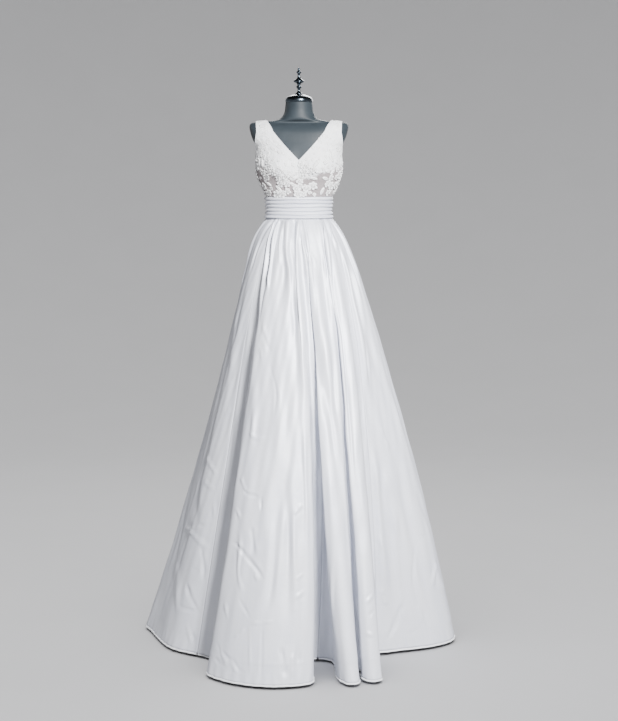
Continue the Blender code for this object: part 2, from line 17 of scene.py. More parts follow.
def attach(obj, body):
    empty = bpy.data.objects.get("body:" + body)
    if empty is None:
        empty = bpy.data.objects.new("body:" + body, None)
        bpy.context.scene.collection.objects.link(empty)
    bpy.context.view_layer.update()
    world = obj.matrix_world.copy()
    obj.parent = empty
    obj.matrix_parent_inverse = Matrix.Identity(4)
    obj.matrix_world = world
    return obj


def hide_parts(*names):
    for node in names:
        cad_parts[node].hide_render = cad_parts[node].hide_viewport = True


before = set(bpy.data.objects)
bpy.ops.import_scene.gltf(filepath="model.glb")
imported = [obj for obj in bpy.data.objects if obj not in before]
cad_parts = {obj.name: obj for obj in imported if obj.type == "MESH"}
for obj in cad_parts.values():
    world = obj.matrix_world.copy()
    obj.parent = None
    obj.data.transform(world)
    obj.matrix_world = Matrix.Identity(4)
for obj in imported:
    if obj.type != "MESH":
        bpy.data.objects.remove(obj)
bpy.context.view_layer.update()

bl_info = {
    "name": "Wedding Dress on a Form",
    "version": (1, 0, 0),
    "blender": (4, 5, 0),
    "location": "3D View > Sidebar > Dress",
    "description": "Builds a satin and lace wedding dress on a limbless dress form",
    "category": "Object",
}

MM = 0.001
BODY = "root"

# Heights of the seams and edges, as in the CAD
WAIST_Z = 1.410
BAND_HEIGHT = 0.070
BAND_TOP_Z = WAIST_Z + BAND_HEIGHT
HEM_Z = 0.0145
FRONT_V_Z = 1.595
BACK_V_Z = 1.560
ARMPIT_Z = 1.640
STRAP_TURN_Z = 1.688
SEAM_GAP = 0.0003

# Cloth clearances and strap places, as in the CAD
EASE = 0.0018
ARMHOLE_EASE = 0.0018
BODICE_WALL = 0.0016
BAND_WALL = 0.0014
STRAP_INNER_X = 0.109
STRAP_OUTER_X = 0.138
ARMHOLE_X = 0.1355
NECK_TURN_X = 0.083

# The skirt's plan, as in the CAD
WAIST_HALF_WIDTH = 0.1075
WAIST_HALF_DEPTH = 0.0825
HIP_SPRING = 0.032
HIP_SPRING_DROP = 0.050
SIDE_FLARE = 0.266
ROUND_BY = 0.45
HEM_RADIUS = 0.511
SKIRT_DROP = WAIST_Z - HEM_Z
BELLY_HEIGHT = 0.7
SHOULDER_DROP = 0.020
CROWN_SPREAD = 0.62
WAIST_VALLEY_HALF = 0.9
TURN_DROP = 0.090
PLACES_ROUND = 54

# Creases that start above this drop are pressed pleats, and don't fade in
PLEAT_START = 0.03
# Columns of a gore's grid follow its hem by this share, and the ring at this drop by the rest
HEM_SHARE = 0.82
UPPER_RING_DROP = 0.10
# Rows of a band piece's grid to each tuck, and the radius of one blind stitch
TUCK_STEPS = 16
STITCH_RADIUS = 0.00035
# Steps along a binding, a piping and the zip's folded edges
BINDING_STEP = 0.006
EDGE_STEP = 0.0035
# The zip's folded edges lie this far to each side of the centre back. Its pull hangs this far below the top
# of them and behind them, and is this much flatter than round
LIP_PLACE = 0.0010
PULL_DROP, PULL_BEHIND, PULL_FLATNESS = 0.0125, 0.0020, 0.38

# One row for each big fold, in degrees from the front, positive to +X: the crown's place and half width at
# the waist and at the hem, its radius at the hem, the valley after it at the waist and at the hem, then the
# share of its turning done by the hip, how much it swings out midway, the power by which it deepens on its
# way down, and how far it drifts sideways midway
FOLD_COLUMNS = (
    "waist", "waist_half", "hem", "hem_half", "crown", "valley_waist", "floor_from", "floor_from_radius",
    "floor_to", "floor_to_radius", "settled", "belly", "deepens", "sway",
)
FOLDS = {
    "left_side": (-86, 14, -105, 9, 0.533, -50, -72, 0.446, -42.5, 0.386, 0.95, -0.058, 0.8, 0),
    "front_panel": (-23, 22, -16, 19.5, 0.509, 4, 9.0, 0.256, 17.5, 0.268, 0.80, 0.0, 1.5, 3.0),
    "pipe_one": (27, 15, 19.3, 3.0, 0.513, 47, 26.2, 0.405, 27.6, 0.405, 0.45, 0.0, 1.3, -2.5),
    "pipe_two": (55, 6, 27.6, 3.4, 0.516, 65, 44, 0.300, 60, 0.352, 0.40, 0.03, 1.1, -2.5),
    "right_side": (84, 12, 88, 9, 0.512, 103, 104, 0.455, 109, 0.452, 0.80, 0.076, 0.8, 0),
    "right_back": (118, 9, 122, 8, 0.530, 135, 137, 0.410, 141, 0.410, 0.80, 0.02, 0.9, 0),
    "back_right": (156, 13, 158, 9, 0.540, 180, 175, 0.430, 185, 0.430, 0.80, 0.0, 0.9, 1.5),
    "back_left": (204, 13, 200, 9, 0.540, 224, 213, 0.405, 217, 0.405, 0.80, 0.0, 0.9, -1.0),
    "left_back": (240, 9, 228, 7, 0.530, 256, 240, 0.450, 243, 0.450, 0.80, -0.035, 0.8, 0),
}
# Soft gathers below the waist seam, as in the CAD: place at the waist, place where it fades out, the drop
# at which it does, depth, and half width in fold points
GATHERS = (
    (5.6, 6.1, 0.26, 0.0045, 0.30),
    (7.30, 7.15, 0.24, 0.0022, 0.14),
    (7.80, 7.85, 0.34, 0.0030, 0.12),
    (8.00, 8.75, 0.52, 0.0034, 0.14),
    (9.60, 9.60, 0.42, 0.0030, 0.35),
    (12.40, 13.40, 0.36, 0.0025, 0.30),
    (20.60, 22.20, 0.22, 0.0025, 0.35),
    (24.50, 24.90, 0.28, 0.0035, 0.30),
    (25.60, 25.50, 0.20, 0.0020, 0.30),
    (29.20, 29.00, 0.30, 0.0035, 0.30),
    (37.40, 37.30, 0.32, 0.0030, 0.20),
    (41.70, 41.60, 0.36, 0.0030, 0.28),
    (43.50, 43.60, 0.30, 0.0030, 0.20),
    (47.90, 47.80, 0.30, 0.0030, 0.28),
    (1.50, 1.60, 0.22, 0.0022, 0.18),
)
# Gores: place of the seam before and after it, and the pitch of its grid in millimetres
GORES = {
    "skirt_front": (4.5, 10.5, 4.8),
    "skirt_front_right": (10.5, 22.5, 5.2),
    "skirt_side_right": (22.5, 34.5, 6.5),
    "skirt_back_right": (34.5, 40.5, 6.6),
    "skirt_back_left": (40.5, 46.5, 6.6),
    "skirt_side_left": (46.5, 58.5, 6.5),
}

# Creases in the satin. Each row: places along it as (fold point, drop below the waist), its half width,
# how far it stands out (negative for a trough) and how much one side is lifted over the other, in mm
CREASES = (
    # left side panel
    (((3.44, 1.011), (4.0, 0.994), (4.46, 0.984)), 4.0, 1.8, 1.0),
    (((3.12, 1.032), (3.7, 1.022), (4.2, 1.042), (4.46, 1.060)), 6.2, -3.1, -1.9),
    (((4.22, 1.054), (4.36, 1.113), (4.42, 1.175)), 5.5, 3.1, 0.7),
    (((4.02, 1.172), (4.22, 1.222), (4.44, 1.267)), 6.2, 3.1, 2.5),
    (((3.90, 1.264), (4.44, 1.267)), 5.5, 2.8, -1.7),
    (((4.24, 1.310), (4.40, 1.370)), 4.7, -2.8, 0.7),
    (((4.34, 1.325), (4.46, 1.376)), 4.7, 2.4, 0.7),
    (((3.50, 0.765), (4.34, 0.826)), 7.0, -2.2, 1.4),
    (((3.86, 0.854), (4.32, 0.873)), 6.2, -2.0, 1.0),
    (((3.52, 0.827), (3.70, 0.93), (3.94, 1.026)), 19.0, 3.2, -1.2),
    (((4.06, 1.130), (4.34, 1.134)), 4.0, 1.3, 0.8),
    (((4.34, 0.908), (4.42, 0.962)), 6.2, -2.0, 0.0),
    (((4.08, 0.512), (4.44, 0.505)), 4.0, 1.3, 0.7),
    (((4.12, 0.627), (4.44, 0.615)), 4.7, -1.7, 0.7),
    (((3.2, 1.14), (3.7, 1.20), (4.0, 1.30)), 16.6, -2.5, 0.8),
    (((2.6, 0.88), (3.1, 1.00), (3.3, 1.18)), 17.8, 2.5, 0.8),
    (((3.30, 0.269), (3.78, 0.394), (4.10, 0.518)), 16.6, -1.9, 0.8),
    # front panel
    (((6.60, 0.822), (6.86, 0.840), (7.30, 0.849)), 4.0, 2.6, 1.5),
    (((7.30, 0.849), (7.34, 0.895)), 4.0, 2.4, -1.2),
    (((6.20, 0.795), (6.50, 0.812), (6.86, 0.840)), 6.2, -2.0, 0.7),
    (((6.06, 0.893), (6.40, 0.900), (6.74, 0.924)), 4.7, -2.8, 1.0),
    (((6.10, 0.990), (6.92, 1.004), (7.40, 1.066), (7.54, 1.099)), 5.5, 3.3, 2.5),
    (((6.70, 0.947), (6.92, 1.004), (7.02, 1.082), (7.18, 1.144)), 6.2, -3.1, 1.2),
    (((7.18, 0.930), (7.32, 1.028)), 7.8, 0.6, 2.5),
    (((7.32, 1.076), (7.42, 1.096)), 4.7, -2.6, 0.0),
    (((7.08, 1.147), (7.38, 1.212)), 4.0, 2.0, 0.8),
    (((7.34, 1.223), (7.74, 1.212)), 4.0, -1.5, 0.7),
    (((7.34, 1.223), (7.46, 1.377)), 4.0, -1.3, 1.4),
    (((7.54, 1.214), (7.62, 1.392)), 4.0, 1.3, -1.4),
    (((6.38, 1.170), (6.82, 1.225)), 6.2, -2.0, 1.0),
    (((7.12, 1.268), (7.30, 1.239)), 4.7, -1.8, 0.0),
    (((6.54, 1.304), (7.08, 1.354)), 5.5, -2.6, 1.0),
    (((7.14, 1.343), (7.28, 1.371)), 4.7, -2.2, 0.0),
    (((7.72, 0.722), (7.62, 0.902), (7.64, 1.054), (7.60, 1.212)), 14.2, 4.6, -1.8),
    (((7.82, 0.722), (7.92, 0.930), (8.00, 1.166), (8.18, 1.253)), 15.2, -0.9, 6.1),
    (((7.96, 0.900), (8.48, 0.866)), 5.5, -1.7, 0.7),
    (((8.16, 1.149), (8.60, 1.121)), 5.5, -1.8, 0.7),
    (((8.16, 1.090), (8.52, 1.073)), 4.7, -1.5, 0.5),
    (((8.52, 0.500), (8.62, 0.722), (8.74, 1.035), (8.80, 1.300)), 7.8, -3.3, 0.0),
    (((6.28, 1.293), (6.80, 1.318), (7.22, 1.340)), 4.7, 2.2, 1.4),
    (((6.32, 1.338), (6.70, 1.350), (7.10, 1.362)), 4.0, 1.8, 1.0),
    (((7.14, 1.323), (7.28, 1.357), (7.40, 1.364)), 4.0, 1.8, 0.8),
    (((7.86, 1.281), (7.98, 1.380)), 7.0, 3.1, 0.0),
    (((8.36, 1.268), (8.50, 1.380)), 7.0, 3.3, 0.0),
    (((8.14, 1.300), (8.24, 1.385)), 6.2, -2.4, 0.0),
    (((6.66, 0.348), (7.14, 0.393), (7.32, 0.413)), 4.7, 1.7, 1.0),
    (((7.22, 0.444), (7.50, 0.528), (7.48, 0.618)), 4.7, 1.7, 0.8),
    (((6.30, 0.655), (7.08, 0.675), (7.32, 0.667)), 4.7, -1.7, 0.8),
    (((6.40, 0.50), (6.70, 0.58), (6.80, 0.72)), 11.4, -2.8, 1.8),
    # recess and the two pipe folds
    (((10.02, 0.720), (10.18, 0.938), (10.30, 1.066)), 11.4, 3.4, 0.0),
    (((10.70, 0.731), (10.80, 0.986), (11.00, 1.315)), 14.2, 3.7, 0.9),
    (((13.20, 0.723), (12.44, 1.037), (11.84, 1.281)), 7.8, -2.6, 0.0),
    (((13.32, 0.46), (13.60, 0.66), (13.90, 0.88)), 11.4, 2.8, 1.3),
    (((14.4, 0.70), (14.7, 0.95), (14.6, 1.20)), 7.0, -2.4, 1.2),
    (((19.08, 1.170), (19.84, 1.144)), 5.5, -2.4, 1.0),
    (((18.56, 1.258), (19.70, 1.267)), 4.7, -2.2, 0.8),
    (((19.2, 1.205), (19.8, 1.190)), 4.7, 2.0, 0.7),
    (((18.90, 0.714), (19.08, 0.924), (19.08, 1.161)), 11.4, 3.2, 0.0),
    (((20.6, 1.08), (21.2, 1.16), (21.6, 1.12), (22.1, 1.22)), 11.4, -2.6, 0.8),
    (((20.8, 1.24), (21.4, 1.30), (22.0, 1.27)), 7.8, -1.6, 0.7),
    (((21.0, 0.92), (21.7, 0.98), (22.2, 0.93)), 7.8, -1.1, 0.4),
    # pressed pleats at the waist, and the long soft folds that run down from them
    (((5.42, 0.008), (5.20, 0.060), (5.30, 0.140), (5.96, 0.235)), 4.8, 8.2, 0.0),
    (((4.80, 0.010), (4.84, 0.116), (5.40, 0.250), (5.92, 0.349)), 4.8, -7.8, 0.0),
    (((6.00, 0.010), (6.04, 0.060), (6.14, 0.137), (6.40, 0.235)), 4.3, -5.0, 2.1),
    (((7.54, 0.010), (7.56, 0.099), (7.74, 0.177), (7.78, 0.300)), 9.9, -9.4, 0.0),
    (((8.10, 0.010), (7.96, 0.120), (7.96, 0.230), (8.10, 0.400)), 7.4, 5.4, 0.0),
    (((8.86, 0.012), (8.34, 0.115), (8.14, 0.208), (8.50, 0.314), (8.60, 0.435), (8.64, 0.560)), 12.3, -9.8, 1.0),
    (((9.90, 0.010), (9.16, 0.130), (9.50, 0.224), (9.70, 0.377), (9.84, 0.562), (9.96, 0.716)), 9.9, 6.8, 0.0),
    (((10.26, 0.020), (10.20, 0.120), (10.34, 0.190)), 14.8, -10.2, 0.0),
    (((12.4, 0.100), (12.98, 0.224), (13.26, 0.346), (13.48, 0.467), (13.60, 0.620)), 18.5, -11.2, 1.3),
    (((15.40, 0.050), (14.44, 0.224), (13.98, 0.346), (14.00, 0.500), (14.20, 0.720)), 11.1, 5.8, 0.0),
    (
        ((16.30, 0.008), (17.30, 0.132), (17.10, 0.256), (17.82, 0.345), (17.82, 0.452), (17.80, 0.712), (17.80, 1.00)),
        6.0, -9.4, 3.9,
    ),
    (((19.20, 0.060), (18.50, 0.256), (18.40, 0.394), (18.36, 0.562), (18.76, 0.740)), 14.8, 6.1, 0.0),
    (((11.30, 0.010), (11.96, 0.087), (12.52, 0.106), (13.54, 0.150)), 6.6, -4.0, 1.8),
    (((14.30, 0.012), (14.80, 0.10), (15.00, 0.20)), 6.6, -4.0, 1.6),
    (((20.30, 0.010), (21.2, 0.060), (22.20, 0.101)), 6.6, -4.0, 1.8),
    (((22.90, 0.060), (22.88, 0.197), (22.80, 0.292), (22.80, 0.419), (22.80, 0.620)), 18.5, -10.1, 0.0),
    (((23.50, 0.080), (23.32, 0.182), (23.28, 0.278), (23.10, 0.418), (23.00, 0.577)), 8.2, 5.2, 0.0),
    (((23.80, 0.006), (23.84, 0.062), (23.86, 0.123), (23.86, 0.211), (23.78, 0.290)), 5.4, 4.1, 1.1),
    (((24.10, 0.006), (24.16, 0.100), (24.14, 0.220)), 7.1, -4.5, 0.0),
    (((6.42, 0.323), (7.04, 0.371)), 5.7, -2.2, 1.0),
    (((6.50, 0.400), (7.00, 0.430)), 5.7, -1.9, 0.8),
    (((7.14, 0.008), (7.10, 0.070), (7.20, 0.150)), 5.7, -3.1, 1.6),
    (((6.50, 0.008), (6.62, 0.090), (6.74, 0.220)), 7.6, 2.8, 1.3),
    (((2.6, 0.008), (2.8, 0.10), (3.2, 0.26)), 6.6, -4.0, 1.8),
    (((3.9, 0.008), (3.9, 0.07), (4.0, 0.18)), 5.7, 3.7, 1.6),
    # right side panel
    (((23.20, 0.661), (23.40, 0.751)), 5.5, -2.2, 0.8),
    (((23.70, 0.700), (23.62, 0.910), (23.68, 1.032), (23.72, 1.144), (23.84, 1.256)), 17.7, 4.1, 1.1),
    (((23.18, 0.787), (23.24, 0.945), (23.30, 1.077)), 13.3, -3.9, 0.0),
    (((23.16, 0.950), (23.20, 1.200), (23.26, 1.374)), 7.0, 0.0, 3.8),
    (((22.78, 0.700), (22.78, 1.046), (22.80, 1.161), (22.86, 1.300)), 15.2, -10.3, 0.0),
    (((22.78, 1.374), (23.06, 1.312), (23.30, 1.228)), 7.0, 3.7, 1.7),
    (((22.62, 1.00), (22.74, 1.045), (22.90, 1.075)), 6.2, -3.3, 0.8),
    (((22.64, 1.18), (22.76, 1.225), (22.94, 1.245)), 6.2, -3.3, 0.8),
    (((23.72, 1.052), (23.54, 1.164), (23.62, 1.281)), 7.0, 3.5, 2.9),
    (((23.54, 1.248), (23.58, 1.329)), 5.5, -2.8, 1.5),
    (((23.92, 1.215), (24.40, 1.160), (25.00, 1.135)), 7.0, -3.3, 1.0),
    (((23.64, 1.274), (23.70, 1.343), (23.80, 1.376)), 5.5, 2.8, 1.0),
    (((23.98, 1.174), (24.38, 1.170)), 6.2, -2.4, 0.8),
    (((23.78, 1.028), (24.72, 1.048)), 4.7, 1.8, 1.0),
    (((23.32, 1.350), (23.56, 1.329)), 4.0, 2.0, 0.8),
    (((23.9, 0.52), (24.0, 0.66), (24.3, 0.80)), 14.6, -2.2, 1.1),
    (((24.6, 1.10), (24.9, 1.20), (25.6, 1.25)), 12.5, -2.4, 1.1),
    (((24.3, 0.88), (24.9, 0.94), (25.3, 1.06)), 12.5, 2.2, 1.2),
    # right side, towards the back
    (((26.2, 0.30), (26.0, 0.52), (26.5, 0.78)), 14.2, -3.0, 1.5),
    (((26.6, 0.92), (27.2, 0.99), (27.9, 1.00)), 7.0, -2.0, 1.2),
    (((27.4, 0.70), (27.6, 0.92), (27.5, 1.18)), 14.2, 3.4, 1.3),
    (((26.9, 1.12), (27.5, 1.16), (28.1, 1.24)), 7.0, 2.0, 1.4),
    (((28.3, 1.02), (28.6, 1.14), (28.5, 1.30)), 7.8, -2.4, 0.8),
    (((29.2, 0.012), (29.0, 0.14), (29.2, 0.34)), 6.2, -2.0, 1.2),
    (((30.7, 0.46), (31.2, 0.56), (31.4, 0.74)), 12.3, -2.5, 1.1),
    (((30.6, 1.00), (31.2, 1.05), (32.0, 1.03)), 6.2, 1.8, 1.2),
    (((31.1, 1.18), (31.5, 1.24), (32.2, 1.27)), 6.2, -2.0, 0.7),
    (((32.8, 0.60), (33.0, 0.84), (32.9, 1.10)), 13.3, 3.0, 1.1),
    # back
    (((35.9, 0.012), (36.2, 0.13), (36.0, 0.30)), 5.5, -1.7, 1.0),
    (((37.4, 0.012), (37.2, 0.18), (37.7, 0.44)), 6.2, -2.0, 1.4),
    (((36.6, 0.62), (37.2, 0.70), (38.0, 0.72)), 7.0, -1.7, 1.0),
    (((38.0, 0.40), (37.8, 0.66), (38.1, 0.98)), 15.2, 3.2, -1.1),
    (((36.8, 0.96), (37.4, 1.02), (37.8, 1.12)), 6.2, 2.0, 1.4),
    (((37.3, 1.20), (38.0, 1.22), (38.5, 1.17)), 6.2, -1.8, 0.8),
    (((38.9, 0.012), (39.1, 0.12), (38.9, 0.24)), 5.5, -1.5, 0.7),
    (((39.2, 0.78), (39.6, 0.90), (39.7, 1.06)), 11.4, -2.8, 1.1),
    (((41.7, 0.012), (41.9, 0.16), (41.6, 0.38)), 6.2, -1.8, -1.2),
    (((42.6, 0.56), (43.1, 0.61), (43.6, 0.72)), 7.8, -1.8, 0.8),
    (((43.5, 0.012), (43.6, 0.15), (43.3, 0.33)), 5.5, -1.7, 1.0),
    (((42.9, 0.84), (43.4, 0.93), (43.3, 1.12)), 11.4, 3.2, 1.5),
    (((43.4, 1.16), (43.9, 1.22), (44.6, 1.20)), 6.2, -2.0, 0.8),
    (((44.6, 0.50), (44.9, 0.74), (44.7, 1.02)), 14.2, -3.0, 1.3),
    # left side, towards the back
    (((47.9, 0.012), (47.8, 0.15), (48.0, 0.33)), 6.2, -2.0, 1.0),
    (((48.7, 0.44), (49.2, 0.55), (49.2, 0.76)), 12.3, -2.5, 1.3),
    (((48.6, 0.98), (49.2, 1.02), (49.9, 1.10)), 7.0, 2.2, 1.5),
    (((49.1, 1.20), (49.7, 1.25), (50.2, 1.22)), 6.2, -1.8, 0.7),
    (((50.6, 0.62), (50.9, 0.86), (50.7, 1.10)), 13.3, 3.0, 1.1),
    (((53.2, 0.30), (53.6, 0.50), (53.5, 0.78)), 14.2, -2.8, 1.1),
    (((54.4, 0.66), (54.9, 0.74), (55.5, 0.75)), 7.0, -1.8, 1.0),
    (((55.2, 0.90), (55.6, 1.04), (55.5, 1.24)), 14.2, 3.4, 1.5),
    (((54.3, 1.06), (54.9, 1.11), (55.3, 1.20)), 6.2, -2.0, 0.8),
    (((55.6, 0.012), (55.8, 0.12), (55.6, 0.30)), 5.5, -1.7, 0.8),
    (((56.2, 0.40), (56.6, 0.52), (56.9, 0.72)), 11.4, 2.3, 1.1),
)

# The form's level sections, as in the CAD: height, half width, depth to the front and back, squareness
TORSO = (
    (1.178, 0.120, 0.080, 0.096, 2.1), (1.186, 0.136, 0.092, 0.110, 2.1), (1.230, 0.146, 0.098, 0.120, 2.1),
    (1.300, 0.134, 0.094, 0.108, 2.1), (1.360, 0.114, 0.083, 0.088, 2.1), (1.410, 0.1020, 0.0770, 0.0770, 2.1),
    (1.445, 0.1005, 0.0765, 0.0750, 2.1), (1.480, 0.1040, 0.0800, 0.0770, 2.1), (1.520, 0.1215, 0.0870, 0.0830, 2.1),
    (1.560, 0.1335, 0.0930, 0.0890, 2.15), (1.590, 0.1365, 0.0950, 0.0930, 2.2), (1.620, 0.1350, 0.0910, 0.0950, 2.25),
    (1.640, 0.1365, 0.0850, 0.0930, 2.3), (1.656, 0.1460, 0.0790, 0.0905, 2.4), (1.672, 0.1530, 0.0730, 0.0860, 2.5),
    (1.688, 0.1575, 0.0660, 0.0790, 2.6), (1.702, 0.1600, 0.0560, 0.0670, 2.7), (1.711, 0.1590, 0.0460, 0.0550, 2.6),
    (1.7165, 0.1520, 0.0380, 0.0460, 2.5), (1.7205, 0.1200, 0.0390, 0.0470, 2.3), (1.7240, 0.0840, 0.0440, 0.0520, 2.1),
    (1.7290, 0.0640, 0.0470, 0.0530, 2.0), (1.7400, 0.0520, 0.0460, 0.0490, 2.0), (1.7580, 0.0455, 0.0430, 0.0440, 2.0),
    (1.7820, 0.0430, 0.0420, 0.0420, 2.0),
)
BUST_X, BUST_Z, BUST_RISE, BUST_SPREAD = 0.064, 1.572, 0.022, 0.040

# Turned profiles as radius and height, bottom to top
CAP_PROFILE = (
    (0.0, 1.7823), (0.0426, 1.7823), (0.0435, 1.7832), (0.0440, 1.7850), (0.0440, 1.7880), (0.0434, 1.7915),
    (0.0425, 1.7935), (0.0411, 1.7957), (0.0390, 1.7975), (0.0350, 1.8000), (0.0300, 1.8022), (0.0240, 1.8044),
    (0.0185, 1.8058), (0.0100, 1.8064), (0.0, 1.8066),
)
FINIAL_PROFILE = (
    (0.0, 1.8069), (0.0116, 1.8069), (0.0122, 1.8075), (0.0125, 1.8085), (0.0125, 1.8095), (0.0118, 1.8106),
    (0.0100, 1.8115), (0.0085, 1.8125), (0.0066, 1.8145), (0.0052, 1.8170), (0.0045, 1.8205), (0.0045, 1.8240),
    (0.0056, 1.8264), (0.0076, 1.8278), (0.0088, 1.8293), (0.0092, 1.8308), (0.0087, 1.8322), (0.0070, 1.8338),
    (0.0054, 1.8354), (0.0050, 1.8370), (0.0056, 1.8394), (0.0080, 1.8420), (0.0120, 1.8443), (0.0158, 1.8462),
    (0.0171, 1.8477), (0.0174, 1.8491), (0.0170, 1.8505), (0.0152, 1.8523), (0.0118, 1.8543), (0.0086, 1.8563),
    (0.0062, 1.8588), (0.0050, 1.8618), (0.0043, 1.8660), (0.0041, 1.8700), (0.0050, 1.8732), (0.0068, 1.8750),
    (0.0080, 1.8766), (0.0083, 1.8780), (0.0076, 1.8795), (0.0056, 1.8811), (0.0042, 1.8824), (0.0039, 1.8842),
    (0.0042, 1.8868), (0.0040, 1.8890), (0.0031, 1.8908), (0.0018, 1.8922), (0.0, 1.8930),
)

# Turned profile of the zip's pull
PULL_PROFILE = (
    (0.0, 0.0), (0.0007, 0.0002), (0.0016, 0.0018), (0.0019, 0.0042), (0.0014, 0.0078), (0.0006, 0.0100), (0.0, 0.0102),
)

# Quarters of the bodice: name, the V's height, front or back, and side
QUARTERS = (
    ("front_right", FRONT_V_Z, 1, 1), ("front_left", FRONT_V_Z, 1, -1),
    ("back_right", BACK_V_Z, -1, 1), ("back_left", BACK_V_Z, -1, -1),
)

# Creases under the arm: distance from the side, half width, height out, and the heights that they lie between
UNDERARM_CREASES = (
    (0.006, 0.0030, 0.0016, 1.520, 1.660), (0.014, 0.0032, -0.0018, 1.530, 1.650),
    (0.023, 0.0038, 0.0018, 1.515, 1.640), (0.033, 0.0045, -0.0014, 1.535, 1.625),
    (0.044, 0.0050, 0.0010, 1.540, 1.610),
)
# Width of a bodice quarter and radius of the band, from which their grids are counted
QUARTER_WIDTH = 0.158
BAND_RADIUS = 0.095

# Kinds of lace motif: spokes of the shape, petals, how deep the gaps between them are, and size
FLOWER_KINDS = {
    "rose": (24, 6, 0.30, 1.0), "daisy": (20, 5, 0.36, 0.80), "leaf": (16, 0, 0.0, 1.0), "bud": (16, 4, 0.22, 0.46),
}
# What each sewn motif carries besides its place
FLOWER_FIELDS = (("turn", "FLOAT_VECTOR"), ("size", "FLOAT_VECTOR"), ("motif", "INT"))
# Motifs listed one by one over the band's top edge: across, height, kind, turn and scale
HAND_FLOWERS = (
    (-0.0030, 1.4905, 0, 0.4, 1.05), (0.0230, 1.5085, 0, 1.9, 1.0), (-0.0350, 1.4990, 1, 0.9, 1.0),
    (0.0745, 1.4985, 2, 1.25, 1.05), (-0.0640, 1.5060, 2, -0.9, 1.0), (0.0490, 1.4880, 3, 0.2, 1.0),
    (-0.0180, 1.5180, 2, 2.4, 0.95), (0.0030, 1.5300, 1, 2.0, 1.05),
)
# Patches of plain net left between the flowers: across from and to, then up from and to
BARE_PATCHES = ((0.052, 0.084, 1.500, 1.548), (-0.094, -0.072, 1.512, 1.560), (-0.020, 0.004, 1.512, 1.524))
# Motifs are scattered in this many tries, and kept clear of the band, the neckline and the armhole.
# Above a share of the height they are small and lie flatter
SCATTER_TRIES = 2600
STRAP_WIDTH = 0.14
BAND_MARGIN = 0.010
NECK_MARGINS = (0.010, 0.013)
ARMHOLE_MARGIN = 0.010
SMALL_ABOVE = 0.42
FLATTEST = 0.22

# Long soft waves of the skirt: length, lean, share of the ripple and shift
LONG_WAVES = ((0.115, 0.32, 0.55, 0.3), (0.071, -0.45, 0.32, 1.9), (0.043, 0.85, 0.16, 4.1))

# The camera that matches the photo
CAMERA_PLACE = (0.0325, -4.8, 1.552)
CAMERA_TILT = 90 - 7.233
CAMERA_LENS, CAMERA_SENSOR = 73.26, 36.0
WALL_TOP = 7.0


def smoothstep(values, low=0.0, high=1.0):
    share = np.clip((np.asarray(values, float) - low) / (high - low), 0.0, 1.0)
    return share * share * (3 - 2 * share)


def hermite(start, end, leaving, arriving, t):
    """A cubic from start to end that leaves and arrives with the slopes given, at a share t of the way."""
    return (
        (1 + 2 * t) * (1 - t) ** 2 * start
        + t * (1 - t) ** 2 * leaving
        + t * t * (3 - 2 * t) * end
        + t * t * (t - 1) * arriving
    )


def unit_cross(first, second):
    """Unit normals of a grid of points from its two sets of tangents."""
    normals = np.cross(first, second)
    return normals / np.linalg.norm(normals, axis=2, keepdims=True)


def arc_lengths(line):
    """Distance along a line of points from its first."""
    return np.concatenate([[0.0], np.cumsum(np.linalg.norm(np.diff(line, axis=0), axis=1))])


# ---- Form and rays


def torso_sizes(z):
    """Half width, front and back depth and squareness of the form at a height."""
    table = np.array(TORSO)
    places = table[:, 0]
    steps = np.diff(places)
    i = int(np.clip(np.searchsorted(places, z) - 1, 0, len(steps) - 1))
    t = (z - places[i]) / steps[i]
    sizes = []
    for values in table[:, 1:].T:
        slopes = np.diff(values) / steps
        tangents = np.zeros_like(values)
        same_way = slopes[:-1] * slopes[1:] > 0
        mean = 2 * slopes[:-1] * slopes[1:] / np.where(same_way, slopes[:-1] + slopes[1:], 1.0)
        tangents[1:-1] = np.where(same_way, mean, 0.0)
        tangents[0], tangents[-1] = slopes[0], slopes[-1]
        sizes.append(hermite(values[i], values[i + 1], steps[i] * tangents[i], steps[i] * tangents[i + 1], t))
    return sizes


def torso_ring(turns, z):
    """Points of the form at angles from the front and one height."""
    half_width, front, back, square = torso_sizes(z)
    power = 2 / square
    sine, cosine = np.sin(turns), np.cos(turns)
    x = half_width * np.sign(sine) * abs(sine) ** power
    y = -np.where(cosine > 0, front, back) * np.sign(cosine) * abs(cosine) ** power
    across, up = (abs(x) - BUST_X) / BUST_SPREAD, (z - BUST_Z) / BUST_SPREAD
    y -= np.where(cosine > 0, BUST_RISE * np.exp(-across * across - up * up) * np.minimum(1.0, 2 * cosine), 0.0)
    return np.stack([x, y, np.full(len(x), z)], 1)


def ring_faces(rings, count):
    """Faces of a stack of closed rings with flat ends."""
    faces = []
    for row in range(rings - 1):
        for k in range(count):
            a, b = row * count + k, row * count + (k + 1) % count
            faces.append((a, b, b + count, a + count))
    faces.append(tuple(reversed(range(count))))
    faces.append(tuple(range((rings - 1) * count, rings * count)))
    return faces


def grown_torso(clearance, turns=224, levels=420):
    """A ray target: the form's skin moved out by a clearance."""
    angles = np.arange(turns) * 2 * np.pi / turns
    heights = np.linspace(TORSO[0][0], TORSO[-1][0], levels)
    grid = np.array([torso_ring(angles, z) for z in heights])
    around = np.roll(grid, -1, 1) - np.roll(grid, 1, 1)
    upward = np.gradient(grid, axis=0)
    points = (grid + unit_cross(around, upward) * clearance).reshape(-1, 3)
    return BVHTree.FromPolygons([Vector(point) for point in points], ring_faces(levels, turns))


def neckline_x(z, v_z):
    """Half width of the V neck at a height."""
    share = max(0.0, (z - v_z) / (STRAP_TURN_Z - v_z))
    return NECK_TURN_X * share * (1.12 - 0.12 * share)


